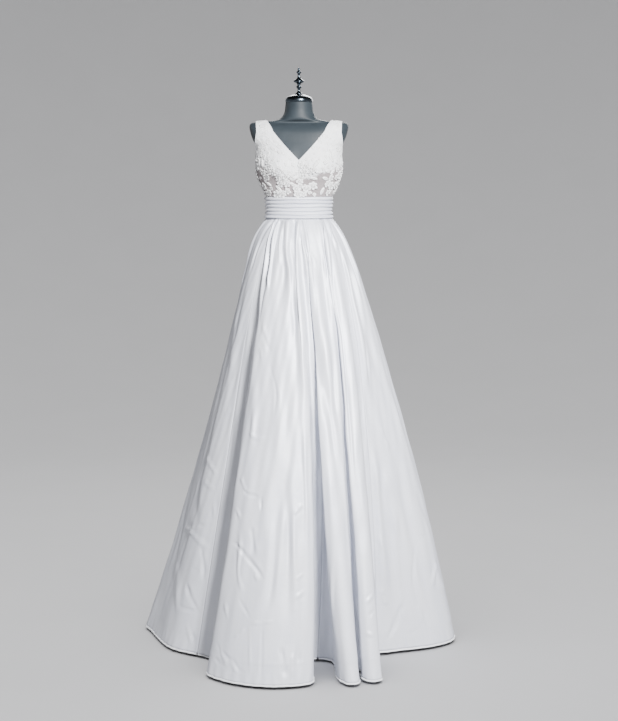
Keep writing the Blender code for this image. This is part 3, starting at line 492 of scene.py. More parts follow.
def armhole_stand_off(z, climb, share):
    """How far the cloth stands off the form beside the lower curve of the armhole."""
    return 0.0 if climb else ARMHOLE_EASE * share * math.exp(-(((z - ARMPIT_Z - 0.014) / 0.022) ** 2))


def armhole_ray(z, facing):
    """Start and angle of the level ray that ends a row: straight sideways, or to the armhole's edge."""
    half_width, front, back, square = torso_sizes(z)
    if half_width <= ARMHOLE_X or z <= ARMPIT_Z - 0.012:
        return 0.0, math.radians(89.9)
    turn = math.asin((ARMHOLE_X / half_width) ** (square / 2))
    depth = abs(torso_ring(np.array([turn if facing > 0 else math.pi - turn]), z)[0][1])
    start = ARMHOLE_X * float(smoothstep((z - ARMPIT_Z) / (STRAP_TURN_Z - ARMPIT_Z)))
    return start, math.atan2(ARMHOLE_X - start, depth)


def bodice_row(z, climb, v_z, facing):
    """Where a row of the bodice begins and ends: inner and outer start, outer turn, height and climb."""
    inner = neckline_x(z, v_z) + (STRAP_INNER_X - NECK_TURN_X) * math.sin(climb)
    outer, turn = armhole_ray(z, facing)
    outer += (STRAP_OUTER_X - ARMHOLE_X) * math.sin(climb)
    return max(inner, SEAM_GAP / 2), outer, turn, z, climb


def bodice_meet(row, share, facing, side, target):
    """Where the ray at a share of the way along a row meets the target, and the ray's way."""
    inner, outer, turn, z, climb = row
    angle = side * turn * share
    start = Vector((side * (inner + (outer - inner) * share), 0.0, z))
    level = Vector((math.sin(angle), -math.cos(angle) * facing, 0.0))
    way = level * math.cos(climb) + Vector((0.0, 0.0, 1.0)) * math.sin(climb)
    hit = target.ray_cast(start, way)[0]
    if hit is None:
        raise ValueError(f"no skin from {start} towards {way}")
    return hit, way


def bodice_levels(v_z, pitch):
    """Heights and climbs of the rows of one bodice quarter, from the waistband to the shoulder seam."""
    low = BAND_TOP_Z + SEAM_GAP
    heights = []
    for start, end in ((low, v_z), (v_z, ARMPIT_Z), (ARMPIT_Z, STRAP_TURN_Z)):
        heights += list(np.linspace(start, end, max(2, round((end - start) / pitch)), endpoint=False))
    levels = [(z, 0.0) for z in heights]
    steps = round(0.055 / pitch)
    return levels + [(STRAP_TURN_Z, math.radians(88.6) * k / steps) for k in range(steps + 1)]


# ---- Skirt surface


def flare(drop):
    """Half width and half depth of the skirt's plan at a drop below the waist."""
    half_width = WAIST_HALF_WIDTH + HIP_SPRING * (1 - math.exp(-drop / HIP_SPRING_DROP)) + SIDE_FLARE * drop
    flatness = WAIST_HALF_DEPTH / WAIST_HALF_WIDTH
    return half_width, half_width * (flatness + (1 - flatness) * float(smoothstep(drop / ROUND_BY)))


def fold_points(values, drop):
    """Six plan points of one fold at a drop: left shoulder, two of the crown, right shoulder, valley floor."""
    row = dict(zip(FOLD_COLUMNS, values))
    share = drop / SKIRT_DROP
    turned = row["settled"] * (1 - math.exp(-drop / TURN_DROP)) + (1 - row["settled"]) * share
    sway = row["sway"] * 4 * share * (1 - share)
    centre = row["waist"] + (row["hem"] - row["waist"]) * turned
    half = row["waist_half"] + (row["hem_half"] - row["waist_half"]) * turned
    start, end = row["valley_waist"] - WAIST_VALLEY_HALF, row["valley_waist"] + WAIST_VALLEY_HALF
    shoulder = row["crown"] - SHOULDER_DROP
    places = (
        (centre - half, shoulder),
        (centre - half * CROWN_SPREAD, row["crown"]),
        (centre + half * CROWN_SPREAD, row["crown"]),
        (centre + half, shoulder),
        (start + (row["floor_from"] - start) * turned, row["floor_from_radius"]),
        (end + (row["floor_to"] - end) * turned, row["floor_to_radius"]),
    )
    half_width, half_depth = flare(drop)
    midway = share**BELLY_HEIGHT
    points = []
    for degrees, hem_radius in places:
        turn = math.radians(degrees + sway)
        plain = 1 / math.hypot(math.sin(turn) / half_width, math.cos(turn) / half_depth)
        radius = plain * (1 - (1 - hem_radius / HEM_RADIUS) * share ** row["deepens"])
        radius *= 1 + row["belly"] * 4 * midway * (1 - midway)
        points.append((radius * math.sin(turn), -radius * math.cos(turn)))
    return points


def skirt_ring(drop, places):
    """Plan points of the skirt at a drop and at places round it, on a smooth curve with its gathers."""
    points = np.array([point for values in FOLDS.values() for point in fold_points(values, drop)])
    chords = np.roll(points, -1, 0) - points
    lengths = np.linalg.norm(chords, axis=1)[:, None]
    slopes = chords / lengths
    before, before_length = np.roll(slopes, 1, 0), np.roll(lengths, 1, 0)
    tangents = (before * lengths + slopes * before_length) / (lengths + before_length)
    places = np.asarray(places, float)
    start = np.floor(places).astype(int)
    t = (places - start)[:, None]
    start %= PLACES_ROUND
    end = (start + 1) % PLACES_ROUND
    ring = hermite(points[start], points[end], lengths[start] * tangents[start], lengths[start] * tangents[end], t)
    depth = np.zeros(len(places))
    for waist_place, end_place, end_drop, deepest, half_width in GATHERS:
        share = drop / end_drop
        if share < 1:
            middle = waist_place + (end_place - waist_place) * share
            away = (places - middle + PLACES_ROUND / 2) % PLACES_ROUND - PLACES_ROUND / 2
            depth += deepest * min(1.0, 6 * share + 0.25) * (1 - share * share) * np.exp(-((away / half_width) ** 2))
    return ring * (1 - depth / np.linalg.norm(ring, axis=1))[:, None]


def smooth_line(points, parts=8):
    """A smooth curve through a few points, as a line of short steps."""
    points = np.array(points, float)
    if len(points) == 2:
        return np.linspace(points[0], points[1], parts + 1)
    ends = np.vstack([2 * points[0] - points[1], points, 2 * points[-1] - points[-2]])
    line = []
    for a, b, c, d in zip(ends, ends[1:], ends[2:], ends[3:]):
        for t in np.arange(parts) / parts:
            bend, twist = 2 * a - 5 * b + 4 * c - d, 3 * b - a - 3 * c + d
            line.append(0.5 * (2 * b + (c - a) * t + bend * t**2 + twist * t**3))
    return np.array([*line, points[-1]])


def crease_rise(x, y, line, width, height, lift, wander):
    """How far one crease moves the cloth out: a soft ridge or trough with low lips, one side lifted."""
    reach = 3.2 * width
    low, high = line.min(0) - reach, line.max(0) + reach
    near = (x > low[0]) & (x < high[0]) & (y > low[1]) & (y < high[1])
    if not near.any():
        return 0.0
    p = np.stack([x[near], y[near]], 1)
    a, b = line[:-1], line[1:]
    way = b - a
    length = np.linalg.norm(way, axis=1)
    away = p[:, None] - a
    along = np.clip((away * way).sum(2) / length**2, 0, 1)
    offset = away - along[:, :, None] * way
    distance = np.linalg.norm(offset, axis=2)
    best = distance.argmin(1)
    rows = np.arange(len(p))
    side = np.sign(way[best, 0] * away[rows, best, 1] - way[best, 1] * away[rows, best, 0])
    starts = arc_lengths(line)
    share = (starts[best] + along[rows, best] * length[best]) / starts[-1]
    q = distance[rows, best] / (width * (1 + 0.25 * np.sin(7.3 * share + wander)))
    ends = smoothstep(1 - share, 0.0, 0.28)
    if line[0, 1] > PLEAT_START:
        ends *= smoothstep(share, 0.0, 0.28)
    uneven = ends * (1 + 0.28 * np.sin(11.0 * share + 2.1 * wander))
    core = np.exp(-q * q)
    lips = -0.22 * np.exp(-((q - 1.75) ** 2) * 1.4)
    rise = np.zeros(x.shape)
    rise[near] = uneven * (height * (core + lips) + lift * 1.6 * side * q * core)
    return rise


# ---- Mesh and node helpers


def link(name, mesh):
    obj = bpy.data.objects.new(name, mesh)
    bpy.context.scene.collection.objects.link(obj)
    return obj


def mesh_piece(name, points, faces, material, uv=None, edges=()):
    """A smooth mesh object. "uv" holds one pair for each point, in metres on the cloth."""
    mesh = bpy.data.meshes.new(name)
    mesh.from_pydata(np.asarray(points, float).tolist(), list(edges), faces)
    mesh.update()
    if faces:
        mesh.shade_smooth()
    if uv is not None:
        corners = np.zeros(len(mesh.loops), np.int32)
        mesh.loops.foreach_get("vertex_index", corners)
        layer = mesh.uv_layers.new(name="cloth")
        layer.data.foreach_set("uv", np.asarray(uv, np.float32)[corners].ravel())
    if material is not None:
        mesh.materials.append(material)
    return link(name, mesh)


def grid_faces(rows, across, flip=False):
    """Faces of a grid of points numbered row by row."""
    faces = []
    for row in range(rows - 1):
        for k in range(across - 1):
            a = row * across + k
            face = (a, a + 1, a + 1 + across, a + across)
            faces.append(face[::-1] if flip else face)
    return faces


def path_piece(name, path):
    """A line of edges for a tube or stitches to follow."""
    edges = [(k, k + 1) for k in range(len(path) - 1)]
    return mesh_piece(name, [tuple(point) for point in path], [], None, edges=edges)


def circle(radius, z, steps, way):
    """Points of a level circle that starts at the front (way -1) or the back (way 1)."""
    turns = [2 * math.pi * k / steps for k in range(steps)]
    return [(radius * math.sin(turn), way * radius * math.cos(turn), z) for turn in turns]


def turned_piece(name, profile, material, steps=64):
    """A profile of radius and height turned about the Z axis, closed on the axis at both ends."""
    points = [(0.0, 0.0, profile[0][1]), (0.0, 0.0, profile[-1][1])]
    for radius, z in profile[1:-1]:
        points += circle(radius, z, steps, -1)
    rows = len(profile) - 2
    faces = []
    for k in range(steps):
        after = (k + 1) % steps
        for row in range(rows - 1):
            a = 2 + row * steps
            faces.append((a + k, a + after, a + after + steps, a + k + steps))
        faces.append((0, 2 + after, 2 + k))
        top = 2 + (rows - 1) * steps
        faces.append((1, top + k, top + after))
    return mesh_piece(name, points, faces, material)


def backdrop(name, profile, material, steps=96):
    """A floor that curves up into a wall all round."""
    points = [(0.0, 0.0, 0.0)]
    for radius, z in profile[1:]:
        points += circle(radius, z, steps, 1)
    faces = []
    for k in range(steps):
        after = (k + 1) % steps
        faces.append((0, 1 + after, 1 + k))
        for row in range(len(profile) - 2):
            a = 1 + row * steps
            faces.append((a + k, a + after, a + after + steps, a + k + steps))
    return mesh_piece(name, points, faces, material)


def give_wall(obj, thickness):
    """Gives a cloth sheet its thickness, inwards."""
    wall = obj.modifiers.new("wall", "SOLIDIFY")
    wall.thickness = thickness
    wall.offset = -1.0
    return obj


def finish_piece(obj, slot, *nodes):
    """Sets a finished piece on the body and hides the CAD nodes that it stands for. Its slot is not used."""
    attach(obj, BODY)
    if nodes:
        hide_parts(*nodes)
    return obj


class NodeTree:
    """Adds nodes to a tree: settings first, then the values or links of the sockets."""

    def __init__(self, tree):
        self.tree = tree

    def node(self, kind, settings=None, inputs=None, output=0):
        node = self.tree.nodes.new(kind)
        for key, value in (settings or {}).items():
            if key == "stops":
                ramp = node.color_ramp
                while len(ramp.elements) < len(value):
                    ramp.elements.new(0.5)
                for element, (place, colour) in zip(ramp.elements, value):
                    element.position = place
                    element.color = (*colour, 1.0)
            else:
                setattr(node, key, value)
        for key, value in (inputs or {}).items():
            for one in value if isinstance(value, list) else [value]:
                self.feed(node.inputs[key], one)
        return self.wrap(node.outputs[output]) if len(node.outputs) else node

    def wrap(self, socket):
        return socket

    def feed(self, socket, value):
        if isinstance(value, Level):
            value = value.socket
        if isinstance(value, bpy.types.NodeSocket):
            self.tree.links.new(value, socket)
        else:
            socket.default_value = value


class Growth(NodeTree):
    """A Geometry Nodes tree with named inputs, run on an object and made a plain mesh."""

    def __init__(self, name, inputs):
        super().__init__(bpy.data.node_groups.new(name, "GeometryNodeTree"))
        sockets = self.tree.interface
        sockets.new_socket("Geometry", in_out="INPUT", socket_type="NodeSocketGeometry")
        sockets.new_socket("Geometry", in_out="OUTPUT", socket_type="NodeSocketGeometry")
        self.names = {
            label: sockets.new_socket(label, in_out="INPUT", socket_type=kind).identifier
            for label, kind in inputs.items()
        }
        self.given = self.tree.nodes.new("NodeGroupInput")
        self.made = self.tree.nodes.new("NodeGroupOutput")

    def value(self, label):
        return self.given.outputs[label]

    def close(self, geometry):
        """Ends the tree: instances made real, smooth shading and the material set."""
        real = self.node("GeometryNodeRealizeInstances", None, {0: geometry})
        smooth = self.node("GeometryNodeSetShadeSmooth", None, {0: real})
        done = self.node("GeometryNodeSetMaterial", None, {0: smooth, "Material": self.value("Material")})
        self.tree.links.new(done, self.made.inputs[0])

    def run(self, obj, values):
        """Runs the tree on an object and leaves its result as the object's plain mesh."""
        modifier = obj.modifiers.new(self.tree.name, "NODES")
        modifier.node_group = self.tree
        for label, value in values.items():
            modifier[self.names[label]] = value
        bpy.context.view_layer.update()
        graph = bpy.context.evaluated_depsgraph_get()
        mesh = bpy.data.meshes.new_from_object(obj.evaluated_get(graph))
        mesh.name = obj.name
        obj.modifiers.clear()
        obj.data = mesh
        if not mesh.polygons:
            raise ValueError(f"{obj.name}: the tree made no faces")
        return obj


class Level:
    """A shader socket in a Python expression: an operator on it adds a Math node."""

    def __init__(self, paint, socket):
        self.paint, self.socket = paint, socket

    def _math(self, operation, other=None, turned=False):
        pair = {0: self} if other is None else {0: other, 1: self} if turned else {0: self, 1: other}
        return self.paint.node("ShaderNodeMath", {"operation": operation}, pair)

    def __add__(self, other):
        return self._math("ADD", other)

    def __radd__(self, other):
        return self._math("ADD", other, True)

    def __sub__(self, other):
        return self._math("SUBTRACT", other)

    def __rsub__(self, other):
        return self._math("SUBTRACT", other, True)

    def __mul__(self, other):
        return self._math("MULTIPLY", other)

    def __rmul__(self, other):
        return self._math("MULTIPLY", other, True)

    def __abs__(self):
        return self._math("ABSOLUTE")

    def sine(self):
        return self._math("SINE")

    def eased(self, low, high):
        """0 below low, 1 above high, smooth between."""
        return self.paint.node(
            "ShaderNodeMapRange", {"interpolation_type": "SMOOTHSTEP"}, {0: self, 1: float(low), 2: float(high)}
        )


class Paint(NodeTree):
    """One material, worked out with expressions on Levels."""

    def __init__(self, name, constants):
        self.material = bpy.data.materials.new(name)
        self.material.use_nodes = True
        super().__init__(self.material.node_tree)
        self.shader = self.tree.nodes["Principled BSDF"]
        for key, value in constants.items():
            self.shader.inputs[key].default_value = value

    def wrap(self, socket):
        return Level(self, socket)

    def place(self):
        return self.node("ShaderNodeTexCoord", None, None, "Object")

    def cloth(self):
        return self.node("ShaderNodeUVMap", {"uv_map": "cloth"})

    def axes(self, vector):
        first = self.node("ShaderNodeSeparateXYZ", None, {0: vector})
        return [Level(self, socket) for socket in first.socket.node.outputs]

    def stretched(self, vector, scale):
        return self.node("ShaderNodeMapping", None, {"Vector": vector, "Scale": scale})

    def noise(self, vector, scale, detail=2.0, roughness=0.5, distortion=0.0):
        given = {"Vector": vector, "Scale": scale, "Detail": detail, "Roughness": roughness, "Distortion": distortion}
        return self.node("ShaderNodeTexNoise", None, given)

    def cells(self, vector, scale):
        """Distance to the edges of cells."""
        given = {"Vector": vector, "Scale": scale}
        return self.node("ShaderNodeTexVoronoi", {"feature": "DISTANCE_TO_EDGE"}, given, "Distance")

    def mix(self, factor, first, second):
        colours = {0: factor}
        for key, colour in ((6, first), (7, second)):
            colours[key] = colour if isinstance(colour, Level) else (*colour, 1.0)
        return self.node("ShaderNodeMix", {"data_type": "RGBA"}, colours, 2)

    def relief(self, height, distance, strength=1.0, under=None):
        given = {"Height": height, "Distance": distance, "Strength": strength}
        if under is not None:
            given["Normal"] = under
        return self.node("ShaderNodeBump", None, given, "Normal")

    def close(self, **links):
        """Feeds the shader's Base_Color, Roughness, Normal and so on."""
        for key, value in links.items():
            self.feed(self.shader.inputs[key.replace("_", " ")], value)
        return self.material


# ---- Materials


def satin_material(name, colour):
    """Duchess satin: close warp floats with a soft sheen, faint slubs, and slight handling creases."""
    paint = Paint(name, {"Specular IOR Level": 0.60, "Metallic": 0.18, "Anisotropic": 0.35, "Coat Roughness": 0.42})
    cloth, place = paint.cloth(), paint.place()
    across, down, _ = paint.axes(cloth)
    warp = (across * (2 * math.pi / 0.00042)).sine() * 0.5 + 0.5
    steps = paint.noise(paint.stretched(cloth, (2400.0, 480.0, 1.0)), 1.0, 1.0)
    floats = warp * 0.6 + steps * 0.4
    slubs = paint.noise(paint.stretched(cloth, (420.0, 9.0, 1.0)), 1.0, 3.0, 0.6)
    cloudy = paint.noise(place, 5.0, 3.0, 0.55)
    handled = paint.noise(place, 38.0, 4.0, 0.55, 0.6)
    streaks = paint.noise(paint.stretched(cloth, (34.0, 4.5, 1.0)), 1.0, 3.0, 0.55)
    tone = slubs * 0.30 + cloudy * 0.40 + streaks * 0.30
    dark = tuple(channel * shade for channel, shade in zip(colour, (0.90, 0.91, 0.945)))
    base = paint.mix(tone.eased(0.30, 0.66), dark, colour)
    fine = paint.relief(floats, 0.00006, 0.55)
    soft = paint.relief(slubs * 0.4 + streaks * 0.9, 0.0005, 0.5, fine)
    creased = paint.relief(handled, 0.0011, 0.55, soft)
    rough = 0.42 + cloudy * 0.10 + slubs * 0.06
    return paint.close(Base_Color=base, Roughness=rough, Coat_Weight=0.06 + slubs * 0.06, Normal=creased)


def lace_material(settings):
    """Corded lace over net: close white lace above, a grey net that shows its ground lower down."""
    paint = Paint("lace_over_net", {"Sheen Weight": 0.3, "Sheen Roughness": 0.5, "Specular IOR Level": 0.35})
    place, cloth = paint.place(), paint.cloth()
    sideways, _, height = paint.axes(place)
    wander = paint.noise(place, 42.0, 2.0) * 0.056 - 0.028
    edge = height + wander - abs(sideways) * 0.30
    bare = 1 - edge.eased(settings.net_top - 0.010, settings.net_top + 0.006)
    mesh_edge = paint.cells(cloth, 760.0)
    strand = 1 - mesh_edge.eased(0.03, 0.14)
    leafy = paint.cells(paint.stretched(cloth, (1.0, 0.62, 1.0)), 92.0)
    cord = 1 - leafy.eased(0.02, 0.11)
    petals = paint.noise(place, 120.0, 3.0, 0.6)
    worked = 1 - bare
    white, net, ground = settings.lace_colour, settings.net_colour, settings.ground_colour
    net_look = paint.mix(strand * 0.55 + petals * 0.25, ground, net)
    lace_look = paint.mix((cord * 0.6 + petals * 0.35).eased(0.1, 0.8), (0.80, 0.81, 0.83), white)
    base = paint.mix(worked, net_look, lace_look)
    raised = cord * worked + strand * 0.18 + petals * 0.22
    thread = paint.noise(paint.stretched(cloth, (2200.0, 1500.0, 1.0)), 1.0, 1.0)
    fine = paint.relief(thread, 0.00008, 0.5)
    relief = paint.relief(raised, 0.0007, 0.75, fine)
    return paint.close(Base_Color=base, Roughness=0.55 + petals * 0.2, Normal=relief)


def flower_material(settings):
    """White satin-stitch petals with a thread grain, and painted shade: grey in a ring round the heart and at the petal
    rims.
    """
    paint = Paint("lace_flower_thread", {"Sheen Weight": 0.35, "Sheen Roughness": 0.45, "Specular IOR Level": 0.4})
    place, cloth = paint.place(), paint.cloth()
    around, outward, _ = paint.axes(cloth)
    grain = (around * 150.0).sine() * 0.5 + 0.5
    fuzz = paint.noise(place, 900.0, 2.0)
    tone = paint.noise(place, 60.0, 2.0)
    # painted shade: the grey ring round the heart and the grey petal rims stand for shade between the raised petals
    hollow_shade = outward.eased(0.12, 0.30) * (1 - outward.eased(0.42, 0.66))
    rim_shade = outward.eased(0.88, 1.0)
    white = tuple(settings.lace_colour)
    base = paint.mix(hollow_shade * 0.50 + rim_shade * 0.45 + tone * 0.12, white, (0.44, 0.42, 0.425))
    relief = paint.relief(grain * 0.6 + fuzz * 0.4, 0.00025, 0.6)
    return paint.close(Base_Color=base, Roughness=0.46 + fuzz * 0.16, Normal=relief)


def thread_material(colour):
    """Twisted sewing thread and bias binding."""
    paint = Paint("sewing_thread", {"Sheen Weight": 0.2, "Specular IOR Level": 0.4})
    place = paint.place()
    across, along, up = paint.axes(place)
    twist = ((across + along + up * 1.3) * 5200.0).sine() * 0.5 + 0.5
    fuzz = paint.noise(place, 700.0, 2.0)
    shade = tuple(channel * 0.90 for channel in colour)
    base = paint.mix(fuzz * 0.5 + twist * 0.3, shade, colour)
    return paint.close(Base_Color=base, Roughness=0.42 + fuzz * 0.15, Normal=paint.relief(twist, 0.0001, 0.6))


def shell_material(settings):
    """The form's cover: dark blue-grey jersey pulled smooth, a little paler where it is rubbed."""
    paint = Paint("form_jersey", {"Sheen Weight": 0.06, "Sheen Roughness": 0.4, "Specular IOR Level": 0.22})
    place = paint.place()
    across, depth, up = paint.axes(place)
    knit = ((across + depth * 0.7) * 5200.0).sine() * (up * 6100.0).sine() * 0.5 + 0.5
    cloudy = paint.noise(place, 14.0, 3.0, 0.6)
    lint = paint.noise(place, 520.0, 3.0, 0.7)
    colour = tuple(settings.shell_colour)
    paler = tuple(min(1.0, channel * 1.5 + 0.003) for channel in colour)
    base = paint.mix(cloudy.eased(0.35, 0.75) * 0.5 + lint * 0.22, colour, paler)
    relief = paint.relief(knit * 0.6 + lint * 0.4, 0.00012, 0.6)
    return paint.close(Base_Color=base, Roughness=0.44 + cloudy * 0.16, Normal=relief)


def metal_material(settings):
    """Dark polished metal with fine turning lines and a few smears."""
    paint = Paint("gunmetal", {"Metallic": 1.0})
    place = paint.place()
    _, _, up = paint.axes(place)
    rings = (up * 21000.0).sine() * 0.5 + 0.5
    smear = paint.noise(place, 60.0, 3.0, 0.6)
    colour = tuple(settings.metal_colour)
    base = paint.mix(smear.eased(0.3, 0.7), tuple(channel * 0.8 for channel in colour), colour)
    return paint.close(Base_Color=base, Roughness=0.16 + smear * 0.16, Normal=paint.relief(rings, 0.00002, 0.35))


def enamel_material(settings):
    """Black stove enamel with a slight orange-peel and dust."""
    paint = Paint("stand_enamel", {"Metallic": 0.0, "Coat Roughness": 0.12})
    place = paint.place()
    peel = paint.noise(place, 420.0, 2.0)
    dust = paint.noise(place, 30.0, 4.0, 0.65)
    colour = tuple(settings.paint_colour)
    base = paint.mix(dust.eased(0.5, 0.8) * 0.35, colour, (0.10, 0.10, 0.11))
    relief = paint.relief(peel, 0.0002, 0.3)
    return paint.close(Base_Color=base, Roughness=0.32 + dust * 0.2, Coat_Weight=0.4 + dust * 0.1, Normal=relief)


def floor_material(settings):
    """Plain pale studio floor with a very faint mottle."""
    paint = Paint("studio_floor", {"Specular IOR Level": 0.2})
    mottle = paint.noise(paint.place(), 3.0, 3.0)
    colour = tuple(settings.floor_colour)
    base = paint.mix(mottle.eased(0.3, 0.7), tuple(channel * 0.985 for channel in colour), colour)
    return paint.close(Base_Color=base, Roughness=0.75 + mottle * 0.1)


def satin():
    colour = tuple(bpy.context.scene.dress_skirt.satin_colour)
    return bpy.data.materials.get("satin_cloth") or satin_material("satin_cloth", colour)


def thread():
    return bpy.data.materials.get("sewing_thread") or thread_material(tuple(bpy.context.scene.dress_trim.thread_colour))


# ---- Sizes that a user would change


def colour_field(name, description, default):
    return FloatVectorProperty(
        name=name, description=description, subtype="COLOR", size=3, min=0, max=1, default=default
    )


def length_field(name, description, default):
    return FloatProperty(name=name, description=description, default=default, unit="LENGTH")


def power_field(name, description, default):
    return FloatProperty(name=name, description=description, default=default, unit="POWER")


class FormSettings(bpy.types.PropertyGroup):
    shell_colour: colour_field("Shell colour", "Jersey over the form", (0.018, 0.024, 0.029))
    metal_colour: colour_field("Metal colour", "Neck cap and finial", (0.075, 0.095, 0.115))
    paint_colour: colour_field("Stand colour", "Enamel of the stand", (0.018, 0.018, 0.020))


class BodiceSettings(bpy.types.PropertyGroup):
    pitch: length_field("Grid pitch", "Distance between the bodice's points", 0.0028)
    wall: length_field("Wall", "Thickness of the lace and its ground", 0.0011)
    net_top: length_field("Net top", "Height up to which the grey net shows", 1.535)
    lace_colour: colour_field("Lace colour", "Cord and petals", (0.86, 0.87, 0.87))
    net_colour: colour_field("Net colour", "Strands of the net", (0.37, 0.33, 0.335))
    ground_colour: colour_field("Ground colour", "Cloth behind the net", (0.22, 0.19, 0.195))


class FlowerSettings(bpy.types.PropertyGroup):
    radius: length_field("Radius", "Reach of a full flower's petals", 0.0148)
    lift: length_field("Lift", "How far petal tips stand off the net", 0.0058)
    pitch: length_field("Pitch", "Distance between flowers low on the bodice", 0.0158)


class BandSettings(bpy.types.PropertyGroup):
    tucks: IntProperty(name="Tucks", description="Rolled tucks in the band", default=6, min=1)
    rise: length_field("Tuck rise", "How far a tuck stands out", 0.0072)
    pitch: length_field("Grid pitch", "Distance between points along it", 0.003)
    wall: length_field("Wall", "Thickness of the folded satin", 0.0010)


class SkirtSettings(bpy.types.PropertyGroup):
    satin_colour: colour_field("Satin colour", "Skirt, band and bindings", (0.68, 0.695, 0.75))
    wall: length_field("Wall", "Thickness of the satin", 0.0010)
    crease_strength: FloatProperty(name="Crease strength", description="Scales every crease", default=1.0, min=0)
    ripple: length_field("Ripple", "Height of the long soft waves", 0.0022)


class TrimSettings(bpy.types.PropertyGroup):
    binding_radius: length_field("Binding radius", "Hem binding", 0.0029)
    piping_radius: length_field("Piping radius", "Neck and armhole edge", 0.0011)
    stitch_length: length_field("Stitch length", "One blind stitch", 0.0030)
    stitch_pitch: length_field("Stitch pitch", "Stitch to stitch", 0.0085)
    hem_turn: length_field("Hem turn-up", "Depth of the turned hem", 0.060)
    zip_below: length_field("Zip below waist", "Zip's length on the skirt", 0.20)
    lip_radius: length_field("Lip radius", "Folded edges over the zip", 0.0009)
    thread_colour: colour_field("Thread colour", "Stitches", (0.84, 0.85, 0.88))


class StageSettings(bpy.types.PropertyGroup):
    floor_colour: colour_field("Floor colour", "Floor and surroundings", (0.60, 0.60, 0.61))
    floor_radius: length_field("Floor radius", "Flat part of the floor", 3.5)
    floor_bend: length_field("Floor bend", "Curve from floor to wall", 5.5)
    key_power: power_field("Key power", "Soft light at the front right, above", 124.0)
    fill_power: power_field("Fill power", "Weak light at the right", 1.0)
    back_power: power_field("Back power", "Large soft light behind", 90.0)
    wash_power: power_field("Wash power", "Overhead light of the floor", 820.0)
    surround: FloatProperty(name="Surround", description="Brightness of the open top", default=0.03, min=0)


# ---- Operators


class DRESS_OT_form(bpy.types.Operator):
    """Builds the smooth torso, neck cap and finial, and finishes the stand"""

    bl_idname = "dress.form"
    bl_label = "Form and stand"

    def execute(self, context):
        settings = context.scene.dress_form
        shell, metal, enamel = shell_material(settings), metal_material(settings), enamel_material(settings)
        turns, level_step = 120, 0.0045
        angles = np.arange(turns) * 2 * np.pi / turns
        heights = [TORSO[0][0]]
        for low, high in zip(TORSO, TORSO[1:]):
            steps = max(2, round((high[0] - low[0]) / level_step))
            heights += list(np.linspace(low[0], high[0], steps + 1)[1:])
        points = np.concatenate([torso_ring(angles, z) for z in heights])
        torso = mesh_piece("torso_shell", points, ring_faces(len(heights), turns), shell)
        torso.data.set_sharp_from_angle(angle=math.radians(60))
        finish_piece(torso, "form_shell", "form_torso")
        turned = (("cap_turned", CAP_PROFILE, "neck_cap"), ("finial_turned", FINIAL_PROFILE, "finial"))
        for name, profile, node in turned:
            piece = turned_piece(name, profile, metal)
            piece.data.set_sharp_from_angle(angle=math.radians(70))
            finish_piece(piece, "polished_metal", node)
        for node in ("stand_flange", "stand_pole", "stand_base"):
            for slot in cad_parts[node].material_slots:
                slot.material = enamel
        return {"FINISHED"}


class DRESS_OT_bodice(bpy.types.Operator):
    """Builds the four lace bodice pieces with their seams and underarm creases"""

    bl_idname = "dress.bodice"
    bl_label = "Lace bodice"

    def execute(self, context):
        settings = context.scene.dress_bodice
        material = lace_material(settings)
        target = grown_torso(EASE + BODICE_WALL)
        for quarter, v_z, facing, side in QUARTERS:
            self.quarter(f"bodice_{quarter}", v_z, facing, side, settings, material, target)
        return {"FINISHED"}

    def quarter(self, name, v_z, facing, side, settings, material, target):
        """One quarter of the bodice, from the waistband to the shoulder seam."""
        levels = bodice_levels(v_z, settings.pitch)
        across = round(QUARTER_WIDTH / settings.pitch)
        shares = np.linspace(0, 1, across)
        grid, ways = np.zeros((len(levels), across, 3)), np.zeros((len(levels), across, 3))
        for number, (z, climb) in enumerate(levels):
            row = bodice_row(z, climb, v_z, facing)
            for k, share in enumerate(shares):
                point, way = bodice_meet(row, float(share), facing, side, target)
                grid[number, k], ways[number, k] = point + way * armhole_stand_off(z, climb, share), way
        lengths = np.array([arc_lengths(row) for row in grid])
        up = arc_lengths(grid[:, across // 2])
        relief = self.relief(abs(grid[:, :, 0]), grid[:, :, 2], lengths, facing)
        grid += ways * relief[:, :, None]
        uv = np.stack([lengths * side, np.repeat(up[:, None], across, 1)], 2).reshape(-1, 2)
        faces = grid_faces(len(levels), across, facing * side < 0)
        piece = mesh_piece(f"{name}_lace", grid.reshape(-1, 3), faces, material, uv)
        finish_piece(give_wall(piece, settings.wall), "lace", name)

    def relief(self, x, z, lengths, facing):
        """Seams and creases of one quarter, in metres outwards."""
        from_side = lengths[:, -1:] - lengths
        # drawn in at the waistband, with a shaping seam over the bust
        out = -0.0012 * smoothstep(BAND_TOP_Z + 0.012 - z, 0.0, 0.012)
        seam_x = 0.049 + 0.30 * (z - BUST_Z) * (z < BUST_Z) + 0.55 * np.maximum(0, z - BUST_Z)
        below_armhole = smoothstep(ARMPIT_Z - z, 0.0, 0.04)
        seam = np.exp(-(((x - seam_x) / 0.0016) ** 2)) * below_armhole
        beside = np.exp(-(((x - seam_x - 0.0035) / 0.0030) ** 2)) * below_armhole
        out += -0.0008 * seam + 0.0004 * beside
        if facing > 0:
            for away, width, rise, low_z, high_z in UNDERARM_CREASES:
                wander = 0.004 * np.sin((z - low_z) * 38.0 + away * 260.0)
                band = smoothstep(z, low_z, low_z + 0.03) * smoothstep(high_z - z, 0.0, 0.03)
                out += rise * band * np.exp(-(((from_side - away - wander) / width) ** 2))
        else:
            out += 0.0008 * np.sin(z * 190.0 + lengths * 60.0) * smoothstep(0.03 - from_side, 0.0, 0.03)
        out += 0.00035 * np.sin(lengths * 310.0 + 3.0 * np.sin(z * 90.0)) * smoothstep(z, 1.50, 1.56)
        edge = np.minimum(lengths, from_side)
        return out * smoothstep(edge, 0.0, 0.004)


